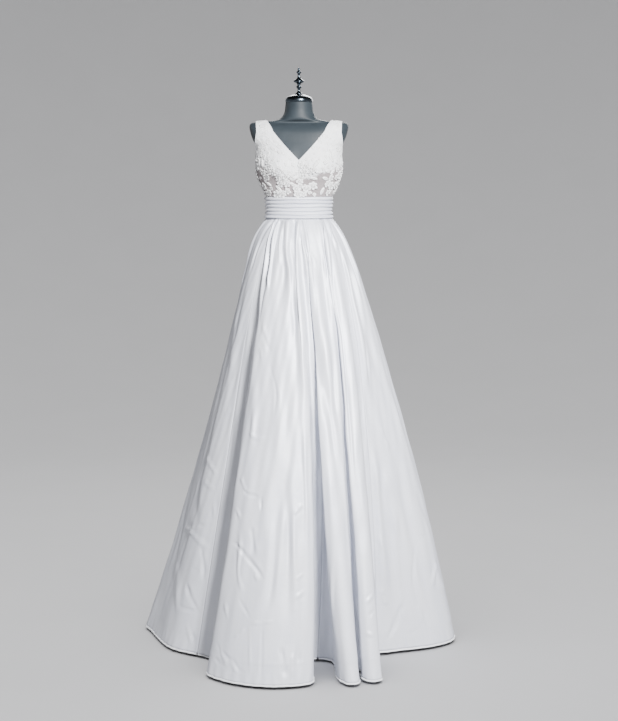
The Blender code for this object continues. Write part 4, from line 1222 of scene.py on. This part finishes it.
def petal_shape(kind, radius, lift):
    """Reach of a lace motif as a function of the angle, and its height of the angle and share of the reach."""
    _, petals, depth, size = FLOWER_KINDS[kind]
    if kind == "leaf":
        def reach(angle):
            return radius * 0.98 / math.sqrt(math.cos(angle) ** 2 + (math.sin(angle) / 0.42) ** 2)

        def height(angle, share):
            vein = math.exp(-((math.sin(angle) * share / 0.13) ** 2))
            return lift * (0.50 * math.sin(math.pi * min(1.0, share * 1.02)) + 0.16 * vein * (1 - share))
    else:
        def reach(angle):
            uneven = 1 + 0.10 * math.sin(2 * angle + petals) + 0.06 * math.sin(3 * angle)
            return radius * size * uneven * (1 - depth + depth * abs(math.cos(petals * angle / 2)) ** 0.7)

        def height(angle, share):
            petal = abs(math.cos(petals * angle / 2)) ** 0.6
            inner = abs(math.sin(petals * angle / 2)) ** 0.6 * math.exp(-(((share - 0.36) / 0.13) ** 2))
            outer = petal * math.exp(-(((share - 0.86) / 0.24) ** 2))
            heart = 0.55 * math.exp(-((share / 0.13) ** 2))
            return lift * (0.16 + 0.62 * outer + 0.80 * inner + heart) * size**0.5
    return reach, height


def flower_piece(kind, settings):
    """One lace motif lying on the XY plane, a closed thin shape of a few dozen faces."""
    reach, height = petal_shape(kind, settings.radius, settings.lift)
    spokes = FLOWER_KINDS[kind][0]
    shares = (0.16, 0.34, 0.58, 0.82, 1.0)
    under = (0.92, 0.5)
    points, uv = [(0.0, 0.0, height(0.0, 0.0))], [(0.0, 0.0)]
    for level, share in [(True, s) for s in shares] + [(False, s) for s in under]:
        for k in range(spokes):
            angle = 2 * math.pi * k / spokes
            r = reach(angle) * share
            tall = height(angle, share)
            points.append((r * math.cos(angle), r * math.sin(angle), tall if level else tall * 0.55 - 0.0004))
            uv.append((angle / (2 * math.pi), share))
    points.append((0.0, 0.0, -0.0008))
    uv.append((0.0, 0.0))
    faces = []
    rows = len(shares) + len(under)
    last = len(points) - 1
    for k in range(spokes):
        after = (k + 1) % spokes
        faces.append((0, 1 + k, 1 + after))
        for row in range(rows - 1):
            a = 1 + row * spokes
            faces.append((a + k, a + k + spokes, a + after + spokes, a + after))
        a = 1 + (rows - 1) * spokes
        faces.append((last, a + after, a + k))
    piece = mesh_piece(f"motif_{kind}", points, faces, None, uv)
    piece.hide_render = True
    return piece


class DRESS_OT_flowers(bpy.types.Operator):
    """Sews raised lace flowers, leaves and buds over the bodice"""

    bl_idname = "dress.flowers"
    bl_label = "Lace flowers"

    def execute(self, context):
        settings = context.scene.dress_flowers
        target = grown_torso(EASE + BODICE_WALL)
        motifs = [flower_piece(kind, settings) for kind in FLOWER_KINDS]
        growth = self.tree(len(motifs))
        material = flower_material(context.scene.dress_bodice)
        for face, facing, v_z, seed in (("front", 1, FRONT_V_Z, 17), ("back", -1, BACK_V_Z, 29)):
            kept = self.scatter(facing, v_z, seed, target, settings)
            cloud = mesh_piece(f"lace_flowers_{face}", [place for place, *_ in kept], [], None)
            for column, (key, kind) in enumerate(FLOWER_FIELDS, 1):
                layer = cloud.data.attributes.new(key, kind, "POINT")
                values = np.array([row[column] for row in kept]).ravel()
                if kind == "INT":
                    layer.data.foreach_set("value", values.astype(np.int32))
                else:
                    layer.data.foreach_set("vector", values.astype(np.float32))
            given = {f"Motif {k + 1}": motif for k, motif in enumerate(motifs)}
            growth.run(cloud, {**given, "Material": material})
            finish_piece(cloud, "lace")
        for motif in motifs:
            bpy.data.objects.remove(motif)
        return {"FINISHED"}

    def tree(self, count):
        """Puts one of the motifs on each point, turned and sized by the point's own values."""
        inputs = {f"Motif {k + 1}": "NodeSocketObject" for k in range(count)}
        growth = Growth("sew_motifs", {**inputs, "Material": "NodeSocketMaterial"})
        shapes = [
            growth.node("GeometryNodeObjectInfo", None, {"Object": growth.value(f"Motif {k + 1}")}, "Geometry")
            for k in range(count)
        ]
        choices = growth.node("GeometryNodeGeometryToInstance", None, {0: list(reversed(shapes))})
        named = {
            key: growth.node("GeometryNodeInputNamedAttribute", {"data_type": kind}, {"Name": key})
            for key, kind in FLOWER_FIELDS
        }
        turn = growth.node("FunctionNodeEulerToRotation", None, {0: named["turn"]})
        sewn = growth.node(
            "GeometryNodeInstanceOnPoints",
            None,
            {
                "Points": growth.value("Geometry"), "Instance": choices, "Pick Instance": True,
                "Instance Index": named["motif"], "Rotation": turn, "Scale": named["size"],
            },
        )
        growth.close(sewn)
        return growth

    def scatter(self, facing, v_z, seed, target, settings):
        """Places, turns, sizes and kinds of the motifs on the front or back."""
        chance = random.Random(seed)
        kept = []
        if facing > 0:
            way = Vector((0.0, -1.0, 0.0))
            for x, z, kind, spin, scale in HAND_FLOWERS:
                hit, normal = target.ray_cast(Vector((x, 0.0, z)), way)[:2]
                kept.append(self.motif(hit, normal, spin, scale, kind, 1.0, way))
        levels = bodice_levels(v_z, 0.002)
        for _ in range(SCATTER_TRIES):
            z, climb = levels[int(chance.random() ** 1.25 * (len(levels) - 12))]
            side = chance.choice((-1, 1))
            share, spin, pick = chance.uniform(0.03, 0.97), chance.uniform(0, 2 * math.pi), chance.random()
            row = bodice_row(z, climb, v_z, facing)
            point, way = bodice_meet(row, share, facing, side, target)
            height = (point.z - BAND_TOP_Z) / (STRAP_TURN_Z - BAND_TOP_Z)
            pitch = settings.pitch * (1.0 + 0.75 * max(0.0, height - 0.35))
            margin = NECK_MARGINS[height >= 0.5]
            edge, far = share * (STRAP_WIDTH - row[0]), (1 - share) * (STRAP_WIDTH - row[0])
            if point.z > v_z - 0.01 and edge < margin or point.z > ARMPIT_Z - 0.02 and far < ARMHOLE_MARGIN:
                continue
            across = point.x * facing
            if any(low < across < high and bottom < point.z < top for low, high, bottom, top in BARE_PATCHES):
                continue
            if point.z < BAND_TOP_Z + BAND_MARGIN or any((point - other[0]).length < pitch for other in kept):
                continue
            bounds = (0.42, 0.66, 0.86) if height < SMALL_ABOVE else (0.0, 0.35, 0.65)
            kind = sum(pick >= bound for bound in bounds)
            tall = min(1.0, max(FLATTEST, 1.0 - 1.5 * (height - SMALL_ABOVE)))
            normal = target.ray_cast(point - way * 0.03, way)[1]
            kept.append(self.motif(point, normal, spin, chance.uniform(0.82, 1.08), kind, tall, way))
        return kept

    def motif(self, point, normal, spin, scale, kind, tall, way):
        """Place, turn, size and kind of one motif that faces out along the cloth's normal."""
        if normal.dot(way) < 0:
            normal = -normal
        turn = normal.to_track_quat("Z", "Y") @ Quaternion((0.0, 0.0, 1.0), spin)
        return point, tuple(turn.to_euler()), (scale, scale, scale * tall), kind


class DRESS_OT_waistband(bpy.types.Operator):
    """Builds the tucked waistband: the front and two backs"""

    bl_idname = "dress.waistband"
    bl_label = "Tucked waistband"

    def execute(self, context):
        settings = context.scene.dress_band
        target = grown_torso(EASE + BAND_WALL)
        gap = math.degrees(SEAM_GAP / 2 / WAIST_HALF_DEPTH)
        for name, start, end in (
            ("waistband_front", -90 + gap, 90 - gap),
            ("waistband_back_right", 90 + gap, 180 - gap),
            ("waistband_back_left", 180 + gap, 270 - gap),
        ):
            self.part(name, math.radians(start), math.radians(end), settings, target)
        return {"FINISHED"}

    def part(self, name, start, end, settings, target):
        """One piece of the band between two angles from the front."""
        across = round((end - start) * BAND_RADIUS / settings.pitch)
        turns = np.linspace(start, end, across)
        shares = np.linspace(0.0, 1.0, TUCK_STEPS * settings.tucks + 1)
        grid = np.zeros((len(shares), across, 3))
        for number, share in enumerate(shares):
            z = WAIST_Z + SEAM_GAP + (BAND_HEIGHT - SEAM_GAP) * share
            for k, turn in enumerate(turns):
                way = Vector((math.sin(turn), -math.cos(turn), 0.0))
                point = target.ray_cast(Vector((0.0, 0.0, z)), way)[0]
                if point is None:
                    raise ValueError(f"{name}: no skin at {z}")
                grid[number, k] = point + way * self.rise(share, turn, settings)
        lengths = np.array([arc_lengths(row) for row in grid])
        up = arc_lengths(grid[:, across // 2])
        uv = np.stack([np.repeat(up[:, None], across, 1), lengths], 2).reshape(-1, 2)
        piece = mesh_piece(f"{name}_tucks", grid.reshape(-1, 3), grid_faces(len(shares), across), satin(), uv)
        finish_piece(give_wall(piece, settings.wall), "satin", name)

    def rise(self, share, turn, settings):
        """How far the band stands out at a share of its height: rolled tucks, uneven and slightly wavy."""
        # the tucks crowd a little at the front, wander, and differ in size along and up the band
        squeeze = 0.10 * math.cos(turn) ** 2
        wave = 0.055 * math.sin(2.3 * turn + 5.0 * share) + 0.04 * math.sin(7.1 * turn + 9.0 * share)
        place = share * settings.tucks + (wave + squeeze * math.sin(6.2 * share)) * math.sin(math.pi * share) ** 0.5
        number = min(settings.tucks - 1, max(0, int(place)))
        part = min(1.0, max(0.0, place - number))
        size = 0.82 + 0.24 * math.sin(2.6 * number + 1.7 * turn + 0.6) * math.sin(1.9 * turn + number)
        roll = math.sin(math.pi * (part / 0.88) ** 0.86) ** 0.72 if 0 < part < 0.88 else 0.0
        lowest = 1.0 + 0.22 * (number == 0)
        return settings.rise * size * lowest * roll + 0.0003


class DRESS_OT_skirt(bpy.types.Operator):
    """Builds the six satin gores with their folds, gathers and creases, and the hem bindings"""

    bl_idname = "dress.skirt"
    bl_label = "Satin skirt and hem"

    def execute(self, context):
        skirt, trim = context.scene.dress_skirt, context.scene.dress_trim
        binding = tube_tree("roll_binding")
        for name, (start, end, pitch) in GORES.items():
            self.gore(name, start, end, pitch * MM, skirt, trim, binding)
        return {"FINISHED"}

    def gore(self, name, start, end, pitch, skirt, trim, binding):
        """One gore between two places round the skirt, with its hem binding."""
        fine = np.arange(start, end + 0.0001, 0.01)
        hem_arc = arc_lengths(skirt_ring(SKIRT_DROP, fine))
        upper_arc = arc_lengths(skirt_ring(UPPER_RING_DROP, fine))
        mixed = HEM_SHARE * hem_arc / hem_arc[-1] + (1 - HEM_SHARE) * upper_arc / upper_arc[-1]
        across = round(hem_arc[-1] / pitch) + 1
        places = np.interp(np.linspace(0, 1, across), mixed, fine)
        drops = self.rows(pitch)
        grid = np.zeros((len(drops), across, 3))
        grid[:, :, :2] = [skirt_ring(drop, places) for drop in drops]
        grid[:, :, 2] = (WAIST_Z - SEAM_GAP - drops * (1 - SEAM_GAP / SKIRT_DROP))[:, None]
        normals = unit_cross(np.gradient(grid, axis=1), np.gradient(grid, drops, axis=0))
        arcs = np.array([arc_lengths(row) for row in grid[:, :, :2]])
        centre = arcs[:, across // 2][:, None]
        x, y = arcs - centre, np.repeat(drops[:, None], across, 1)
        rise = self.creases(x, y, places, arcs, drops) * skirt.crease_strength
        rise += self.waves(x, y, start, skirt.ripple)
        # held flat along the seams and at the waist, drawn in at the seams and at the hem's blind stitches
        edge = np.minimum(arcs, arcs[:, -1:] - arcs)
        held = smoothstep(edge / (0.006 + 0.012 * y / SKIRT_DROP), 0.0, 1.0)
        rise *= held * smoothstep(y, 0.0, 0.010)
        rise += -0.0002 * np.exp(-((edge / 0.0030) ** 2)) * smoothstep(y, 0.0, 0.02)
        turn_at = SKIRT_DROP - trim.hem_turn + 0.0015 * np.sin(x * 21.0)
        rise += 0.00045 * smoothstep(y - turn_at, -0.002, 0.003) - 0.0005 * np.exp(-(((y - turn_at) / 0.004) ** 2))
        grid += normals * rise[:, :, None]
        # half of the seam's gap on each side
        for last, beside in ((0, 1), (-1, -2)):
            pulled = SEAM_GAP * 0.5 / np.maximum(abs(arcs[:, last] - arcs[:, beside]), 1e-6)
            grid[:, last] += (grid[:, beside] - grid[:, last]) * pulled[:, None]
        uv = np.stack([x, y], 2).reshape(-1, 2)
        faces = grid_faces(len(drops), across, True)
        piece = mesh_piece(f"{name}_satin", grid.reshape(-1, 3), faces, satin(), uv)
        finish_piece(give_wall(piece, skirt.wall), "satin", name)
        hem = self.hem(name.replace("skirt", "hem"), grid[-1], trim, binding)
        width = float(arc_lengths(grid[-1])[-1])
        length = float(arc_lengths(grid[:, across // 2])[-1])

    def rows(self, pitch):
        """Drops of a gore's rows: wide apart where the folds run straight down, close where creases cross."""
        drops = np.linspace(0, SKIRT_DROP, 1500)
        widest, closer_at_waist, closer_below = 1.85, 1.15, 0.80
        spacing = pitch * (
            widest - closer_at_waist * np.exp(-drops / 0.03) - closer_below * smoothstep(drops, 0.42, 0.72)
        )
        count = np.cumsum(drops[1] / spacing) - drops[1] / spacing[0]
        return np.interp(np.linspace(0, count[-1], round(count[-1]) + 1), count, drops)

    def creases(self, x, y, places, arcs, drops):
        """The crease table's creases on one gore, in metres outwards."""
        rise = np.zeros(x.shape)
        start, end = places[0], places[-1]
        middle = arcs[:, len(places) // 2]
        for number, (points, width, height, lift) in enumerate(CREASES):
            turned = [(place + (PLACES_ROUND if place < start else 0), drop) for place, drop in points]
            if not any(start <= place <= end for place, _ in turned):
                continue
            line = []
            for place, drop in turned:
                row = int(np.argmin(abs(drops - drop)))
                line.append((np.interp(place, places, arcs[row]) - middle[row], drop))
            line = smooth_line(line)
            rise += crease_rise(x, y, line, width * MM, height * MM, lift * MM, 1.7 * number)
        return rise

    def waves(self, x, y, start, ripple):
        """Long soft waves that lean with the gore, and short puckers just above the hem and below the waist."""
        share = y / SKIRT_DROP
        out = np.zeros(x.shape)
        fading = np.sin(np.pi * np.clip(share, 0.02, 1)) ** 0.6
        for length, lean, size, shift in LONG_WAVES:
            phase = 2 * np.pi * (x + lean * y * 0.25) / (length * (0.40 + 0.60 * share)) + shift + 1.3 * start
            out += ripple * size * np.sin(phase + 1.2 * np.sin(5.1 * share + shift)) * fading
        low = smoothstep(y, SKIRT_DROP - 0.05, SKIRT_DROP)
        out += 0.0009 * low * np.sin(2 * np.pi * x / 0.031 + 2.2 * np.sin(x * 17.0 + start))
        high = np.exp(-y / 0.045)
        out += 0.00022 * high * np.sin(2 * np.pi * x / 0.019 + 2.9 * np.sin(x * 37.0 + start))
        dimples = np.sin(y * 31.0 + 2.0 * np.sin(x * 13.0)) * np.sin(x * 24.0 + 3.0 * np.sin(y * 7.0))
        return out + 0.0007 * dimples * smoothstep(share, 0.25, 0.6)

    def hem(self, name, line, trim, binding):
        """The rolled binding under one gore's lower edge."""
        steps = arc_lengths(line)
        inset = 2 * SEAM_GAP + trim.binding_radius
        even = np.linspace(inset, steps[-1] - inset, round(steps[-1] / BINDING_STEP))
        path = np.stack([np.interp(even, steps, line[:, k]) for k in range(3)], 1)
        path[:, 2] = HEM_Z - SEAM_GAP - trim.binding_radius + 0.0002 * np.sin(even * 90.0)
        piece = path_piece(f"{name}_binding", path)
        binding.run(piece, {"Radius": trim.binding_radius, "Sides": 12, "Material": thread()})
        return finish_piece(piece, "satin", name)


def tube_tree(name):
    """Rolls a round tube along a line of edges."""
    growth = Growth(name, {"Radius": "NodeSocketFloat", "Sides": "NodeSocketInt", "Material": "NodeSocketMaterial"})
    line = growth.node("GeometryNodeMeshToCurve", None, {"Mesh": growth.value("Geometry")})
    given = {"Resolution": growth.value("Sides"), "Radius": growth.value("Radius")}
    ring = growth.node("GeometryNodeCurvePrimitiveCircle", None, given)
    tube = growth.node("GeometryNodeCurveToMesh", None, {"Curve": line, "Profile Curve": ring, "Fill Caps": True})
    growth.close(tube)
    return growth


def stitch_tree():
    """Lays short rounded stitches end to end along a line of edges."""
    sizes = {key: "NodeSocketFloat" for key in ("Pitch", "Length", "Radius")}
    growth = Growth("lay_stitches", {**sizes, "Material": "NodeSocketMaterial"})
    line = growth.node("GeometryNodeMeshToCurve", None, {"Mesh": growth.value("Geometry")})
    given = {"Curve": line, "Length": growth.value("Pitch")}
    spaced = growth.node("GeometryNodeResampleCurve", {"mode": "LENGTH"}, given)
    ball = growth.node("GeometryNodeMeshUVSphere", None, {"Segments": 6, "Rings": 4, "Radius": 1.0})
    thickness = growth.value("Radius")
    size = growth.node("ShaderNodeCombineXYZ", None, {0: thickness, 1: thickness, 2: growth.value("Length")})
    tangent = growth.node("GeometryNodeInputTangent")
    turn = growth.node("FunctionNodeAlignRotationToVector", {"axis": "Z"}, {"Vector": tangent})
    laid = growth.node(
        "GeometryNodeInstanceOnPoints", None, {"Points": spaced, "Instance": ball, "Rotation": turn, "Scale": size}
    )
    growth.close(laid)
    return growth


class DRESS_OT_edges(bpy.types.Operator):
    """Pipes the neckline and armholes, and sews the blind stitches of the hem turn-up"""

    bl_idname = "dress.edges"
    bl_label = "Piping and stitches"

    def execute(self, context):
        trim = context.scene.dress_trim
        target = grown_torso(EASE + BODICE_WALL * 0.55)
        tube = tube_tree("roll_piping")
        for edge, share in (("neck", 0.0), ("arm", 1.0)):
            for quarter, v_z, facing, side in QUARTERS:
                start_z = ARMPIT_Z - 0.010 if share else v_z
                path = []
                for z, climb in bodice_levels(v_z, EDGE_STEP):
                    if z >= start_z:
                        point, way = bodice_meet(bodice_row(z, climb, v_z, facing), share, facing, side, target)
                        path.append(point + way * armhole_stand_off(z, climb, share))
                piece = path_piece(f"piping_{edge}_{quarter}", path)
                tube.run(piece, {"Radius": trim.piping_radius, "Sides": 10, "Material": thread()})
                finish_piece(piece, "lace")
        stitches = stitch_tree()
        given = {
            "Pitch": trim.stitch_pitch, "Length": trim.stitch_length / 2, "Radius": STITCH_RADIUS, "Material": thread(),
        }
        graph = bpy.context.evaluated_depsgraph_get()
        drop = SKIRT_DROP - trim.hem_turn
        for name, (start, end, _) in GORES.items():
            skin = BVHTree.FromObject(bpy.data.objects[f"{name}_satin"], graph)
            ring = skirt_ring(drop, np.linspace(start + 0.03, end - 0.03, 400))
            path = [skin.find_nearest(Vector((x, y, WAIST_Z - drop)))[0] for x, y in ring]
            piece = path_piece(name.replace("skirt", "hem_stitches"), path)
            finish_piece(stitches.run(piece, given), "satin")
        return {"FINISHED"}


class DRESS_OT_closure(bpy.types.Operator):
    """Closes the centre back with a concealed zip: two folded lips and a plain pull"""

    bl_idname = "dress.closure"
    bl_label = "Centre back zip"

    def execute(self, context):
        trim, graph = context.scene.dress_trim, context.evaluated_depsgraph_get()
        skins = [
            BVHTree.FromObject(bpy.data.objects[f"{part}_back_{side}_{cloth}"], graph)
            for part, cloth in (("bodice", "lace"), ("waistband", "tucks"), ("skirt", "satin"))
            for side in ("left", "right")
        ]
        inwards = Vector((0.0, -1.0, 0.0))
        lips = tube_tree("roll_lips")
        heights = np.arange(BACK_V_Z - 0.004, WAIST_Z - trim.zip_below, -EDGE_STEP)
        for side, name in ((1, "zip_lip_right"), (-1, "zip_lip_left")):
            path = []
            for z in heights:
                hits = [skin.ray_cast(Vector((side * 0.0011, 1.0, z)), inwards)[0] for skin in skins]
                depths = [hit.y for hit in hits if hit is not None and hit.y > 0]
                if depths:
                    path.append((side * LIP_PLACE, max(depths) + 0.0001, float(z)))
            piece = path_piece(name, path)
            lips.run(piece, {"Radius": trim.lip_radius, "Sides": 8, "Material": satin()})
            finish_piece(piece, "satin")
        _, back, top = path[0]
        pull = turned_piece("zip_pull", PULL_PROFILE, bpy.data.materials["gunmetal"], 24)
        for point in pull.data.vertices:
            x, y, z = point.co
            point.co = (x, back + PULL_BEHIND + y * PULL_FLATNESS, top - PULL_DROP + z)
        finish_piece(pull, "polished_metal")
        return {"FINISHED"}


class DRESS_OT_stage(bpy.types.Operator):
    """Sets the plain pale floor, the soft studio lights and the camera"""

    bl_idname = "dress.stage"
    bl_label = "Stage"

    def execute(self, context):
        settings = context.scene.dress_stage
        profile = [(0.0, 0.0), (settings.floor_radius, 0.0)]
        bend = settings.floor_bend
        for k in range(1, 17):
            turn = math.pi / 2 * k / 16
            profile.append((settings.floor_radius + bend * math.sin(turn), bend * (1 - math.cos(turn))))
        profile.append((settings.floor_radius + bend, WALL_TOP))
        floor = backdrop("studio_floor", profile, floor_material(settings))
        world = bpy.data.worlds.new("studio")
        world.use_nodes = True
        light = world.node_tree.nodes["Background"].inputs
        light["Color"].default_value = (0.98, 0.99, 1.0, 1.0)
        light["Strength"].default_value = settings.surround
        context.scene.world = world
        only_floor, no_floor = bpy.data.collections.new("only_floor"), bpy.data.collections.new("no_floor")
        for group, state in ((only_floor, "INCLUDE"), (no_floor, "EXCLUDE")):
            group.objects.link(floor)
            group.collection_objects[0].light_linking.link_state = state
        # name, place, what it points at, size, power, spread in degrees, and what it lights
        for name, place, aim, size, power, spread, lit in (
            ("key", (1.6, -4.55, 3.7), (0.13, 0, 0.95), 0.9, settings.key_power, 56.0, no_floor),
            ("fill", (3.4, -3.2, 1.9), (0, 0, 0.8), 2.4, settings.fill_power, 180.0, no_floor),
            ("back_key", (0.8, 5.6, 3.4), (0, 0, 0.7), 3.0, settings.back_power, 90.0, no_floor),
            ("wash", (0, -0.6, 6.4), (0, 0.6, 0), 7.0, settings.wash_power, 180.0, only_floor),
        ):
            lamp = bpy.data.lights.new(name, "AREA")
            lamp.energy, lamp.size, lamp.spread = power, size, math.radians(spread)
            holder = bpy.data.objects.new(name, lamp)
            holder.location = place
            holder.rotation_euler = (Vector(aim) - Vector(place)).to_track_quat("-Z", "Y").to_euler()
            context.scene.collection.objects.link(holder)
            holder.light_linking.receiver_collection = lit
        lens = bpy.data.cameras.new("photo_camera")
        lens.lens, lens.sensor_width = CAMERA_LENS, CAMERA_SENSOR
        camera = bpy.data.objects.new("photo_camera", lens)
        camera.location = CAMERA_PLACE
        camera.rotation_euler = (math.radians(CAMERA_TILT), 0.0, 0.0)
        context.scene.collection.objects.link(camera)
        context.scene.camera = camera
        return {"FINISHED"}


OPERATORS = (
    DRESS_OT_form, DRESS_OT_bodice, DRESS_OT_flowers, DRESS_OT_waistband, DRESS_OT_skirt, DRESS_OT_edges,
    DRESS_OT_closure, DRESS_OT_stage,
)
GROUPS = {
    "dress_form": FormSettings, "dress_bodice": BodiceSettings, "dress_flowers": FlowerSettings,
    "dress_band": BandSettings, "dress_skirt": SkirtSettings, "dress_trim": TrimSettings, "dress_stage": StageSettings,
}


class DRESS_PT_panel(bpy.types.Panel):
    """Lists the dress's pieces and their sizes"""

    bl_label = "Wedding dress"
    bl_idname = "DRESS_PT_panel"
    bl_space_type = "VIEW_3D"
    bl_region_type = "UI"
    bl_category = "Dress"

    def draw(self, context):
        for operator in OPERATORS:
            self.layout.operator(operator.bl_idname)
        for key, group in GROUPS.items():
            box = self.layout.box()
            box.label(text=key.split("_")[1].title())
            for field in group.__annotations__:
                box.prop(getattr(context.scene, key), field)


def register():
    for group in GROUPS.values():
        bpy.utils.register_class(group)
    for operator in (*OPERATORS, DRESS_PT_panel):
        bpy.utils.register_class(operator)
    for key, group in GROUPS.items():
        setattr(bpy.types.Scene, key, PointerProperty(type=group))


def unregister():
    for key in GROUPS:
        delattr(bpy.types.Scene, key)
    for operator in (DRESS_PT_panel, *reversed(OPERATORS)):
        bpy.utils.unregister_class(operator)
    for group in GROUPS.values():
        bpy.utils.unregister_class(group)


def main():
    register()
    for operator in OPERATORS:
        group, action = operator.bl_idname.split(".")
        getattr(getattr(bpy.ops, group), action)()


if __name__ == "__main__":
    main()
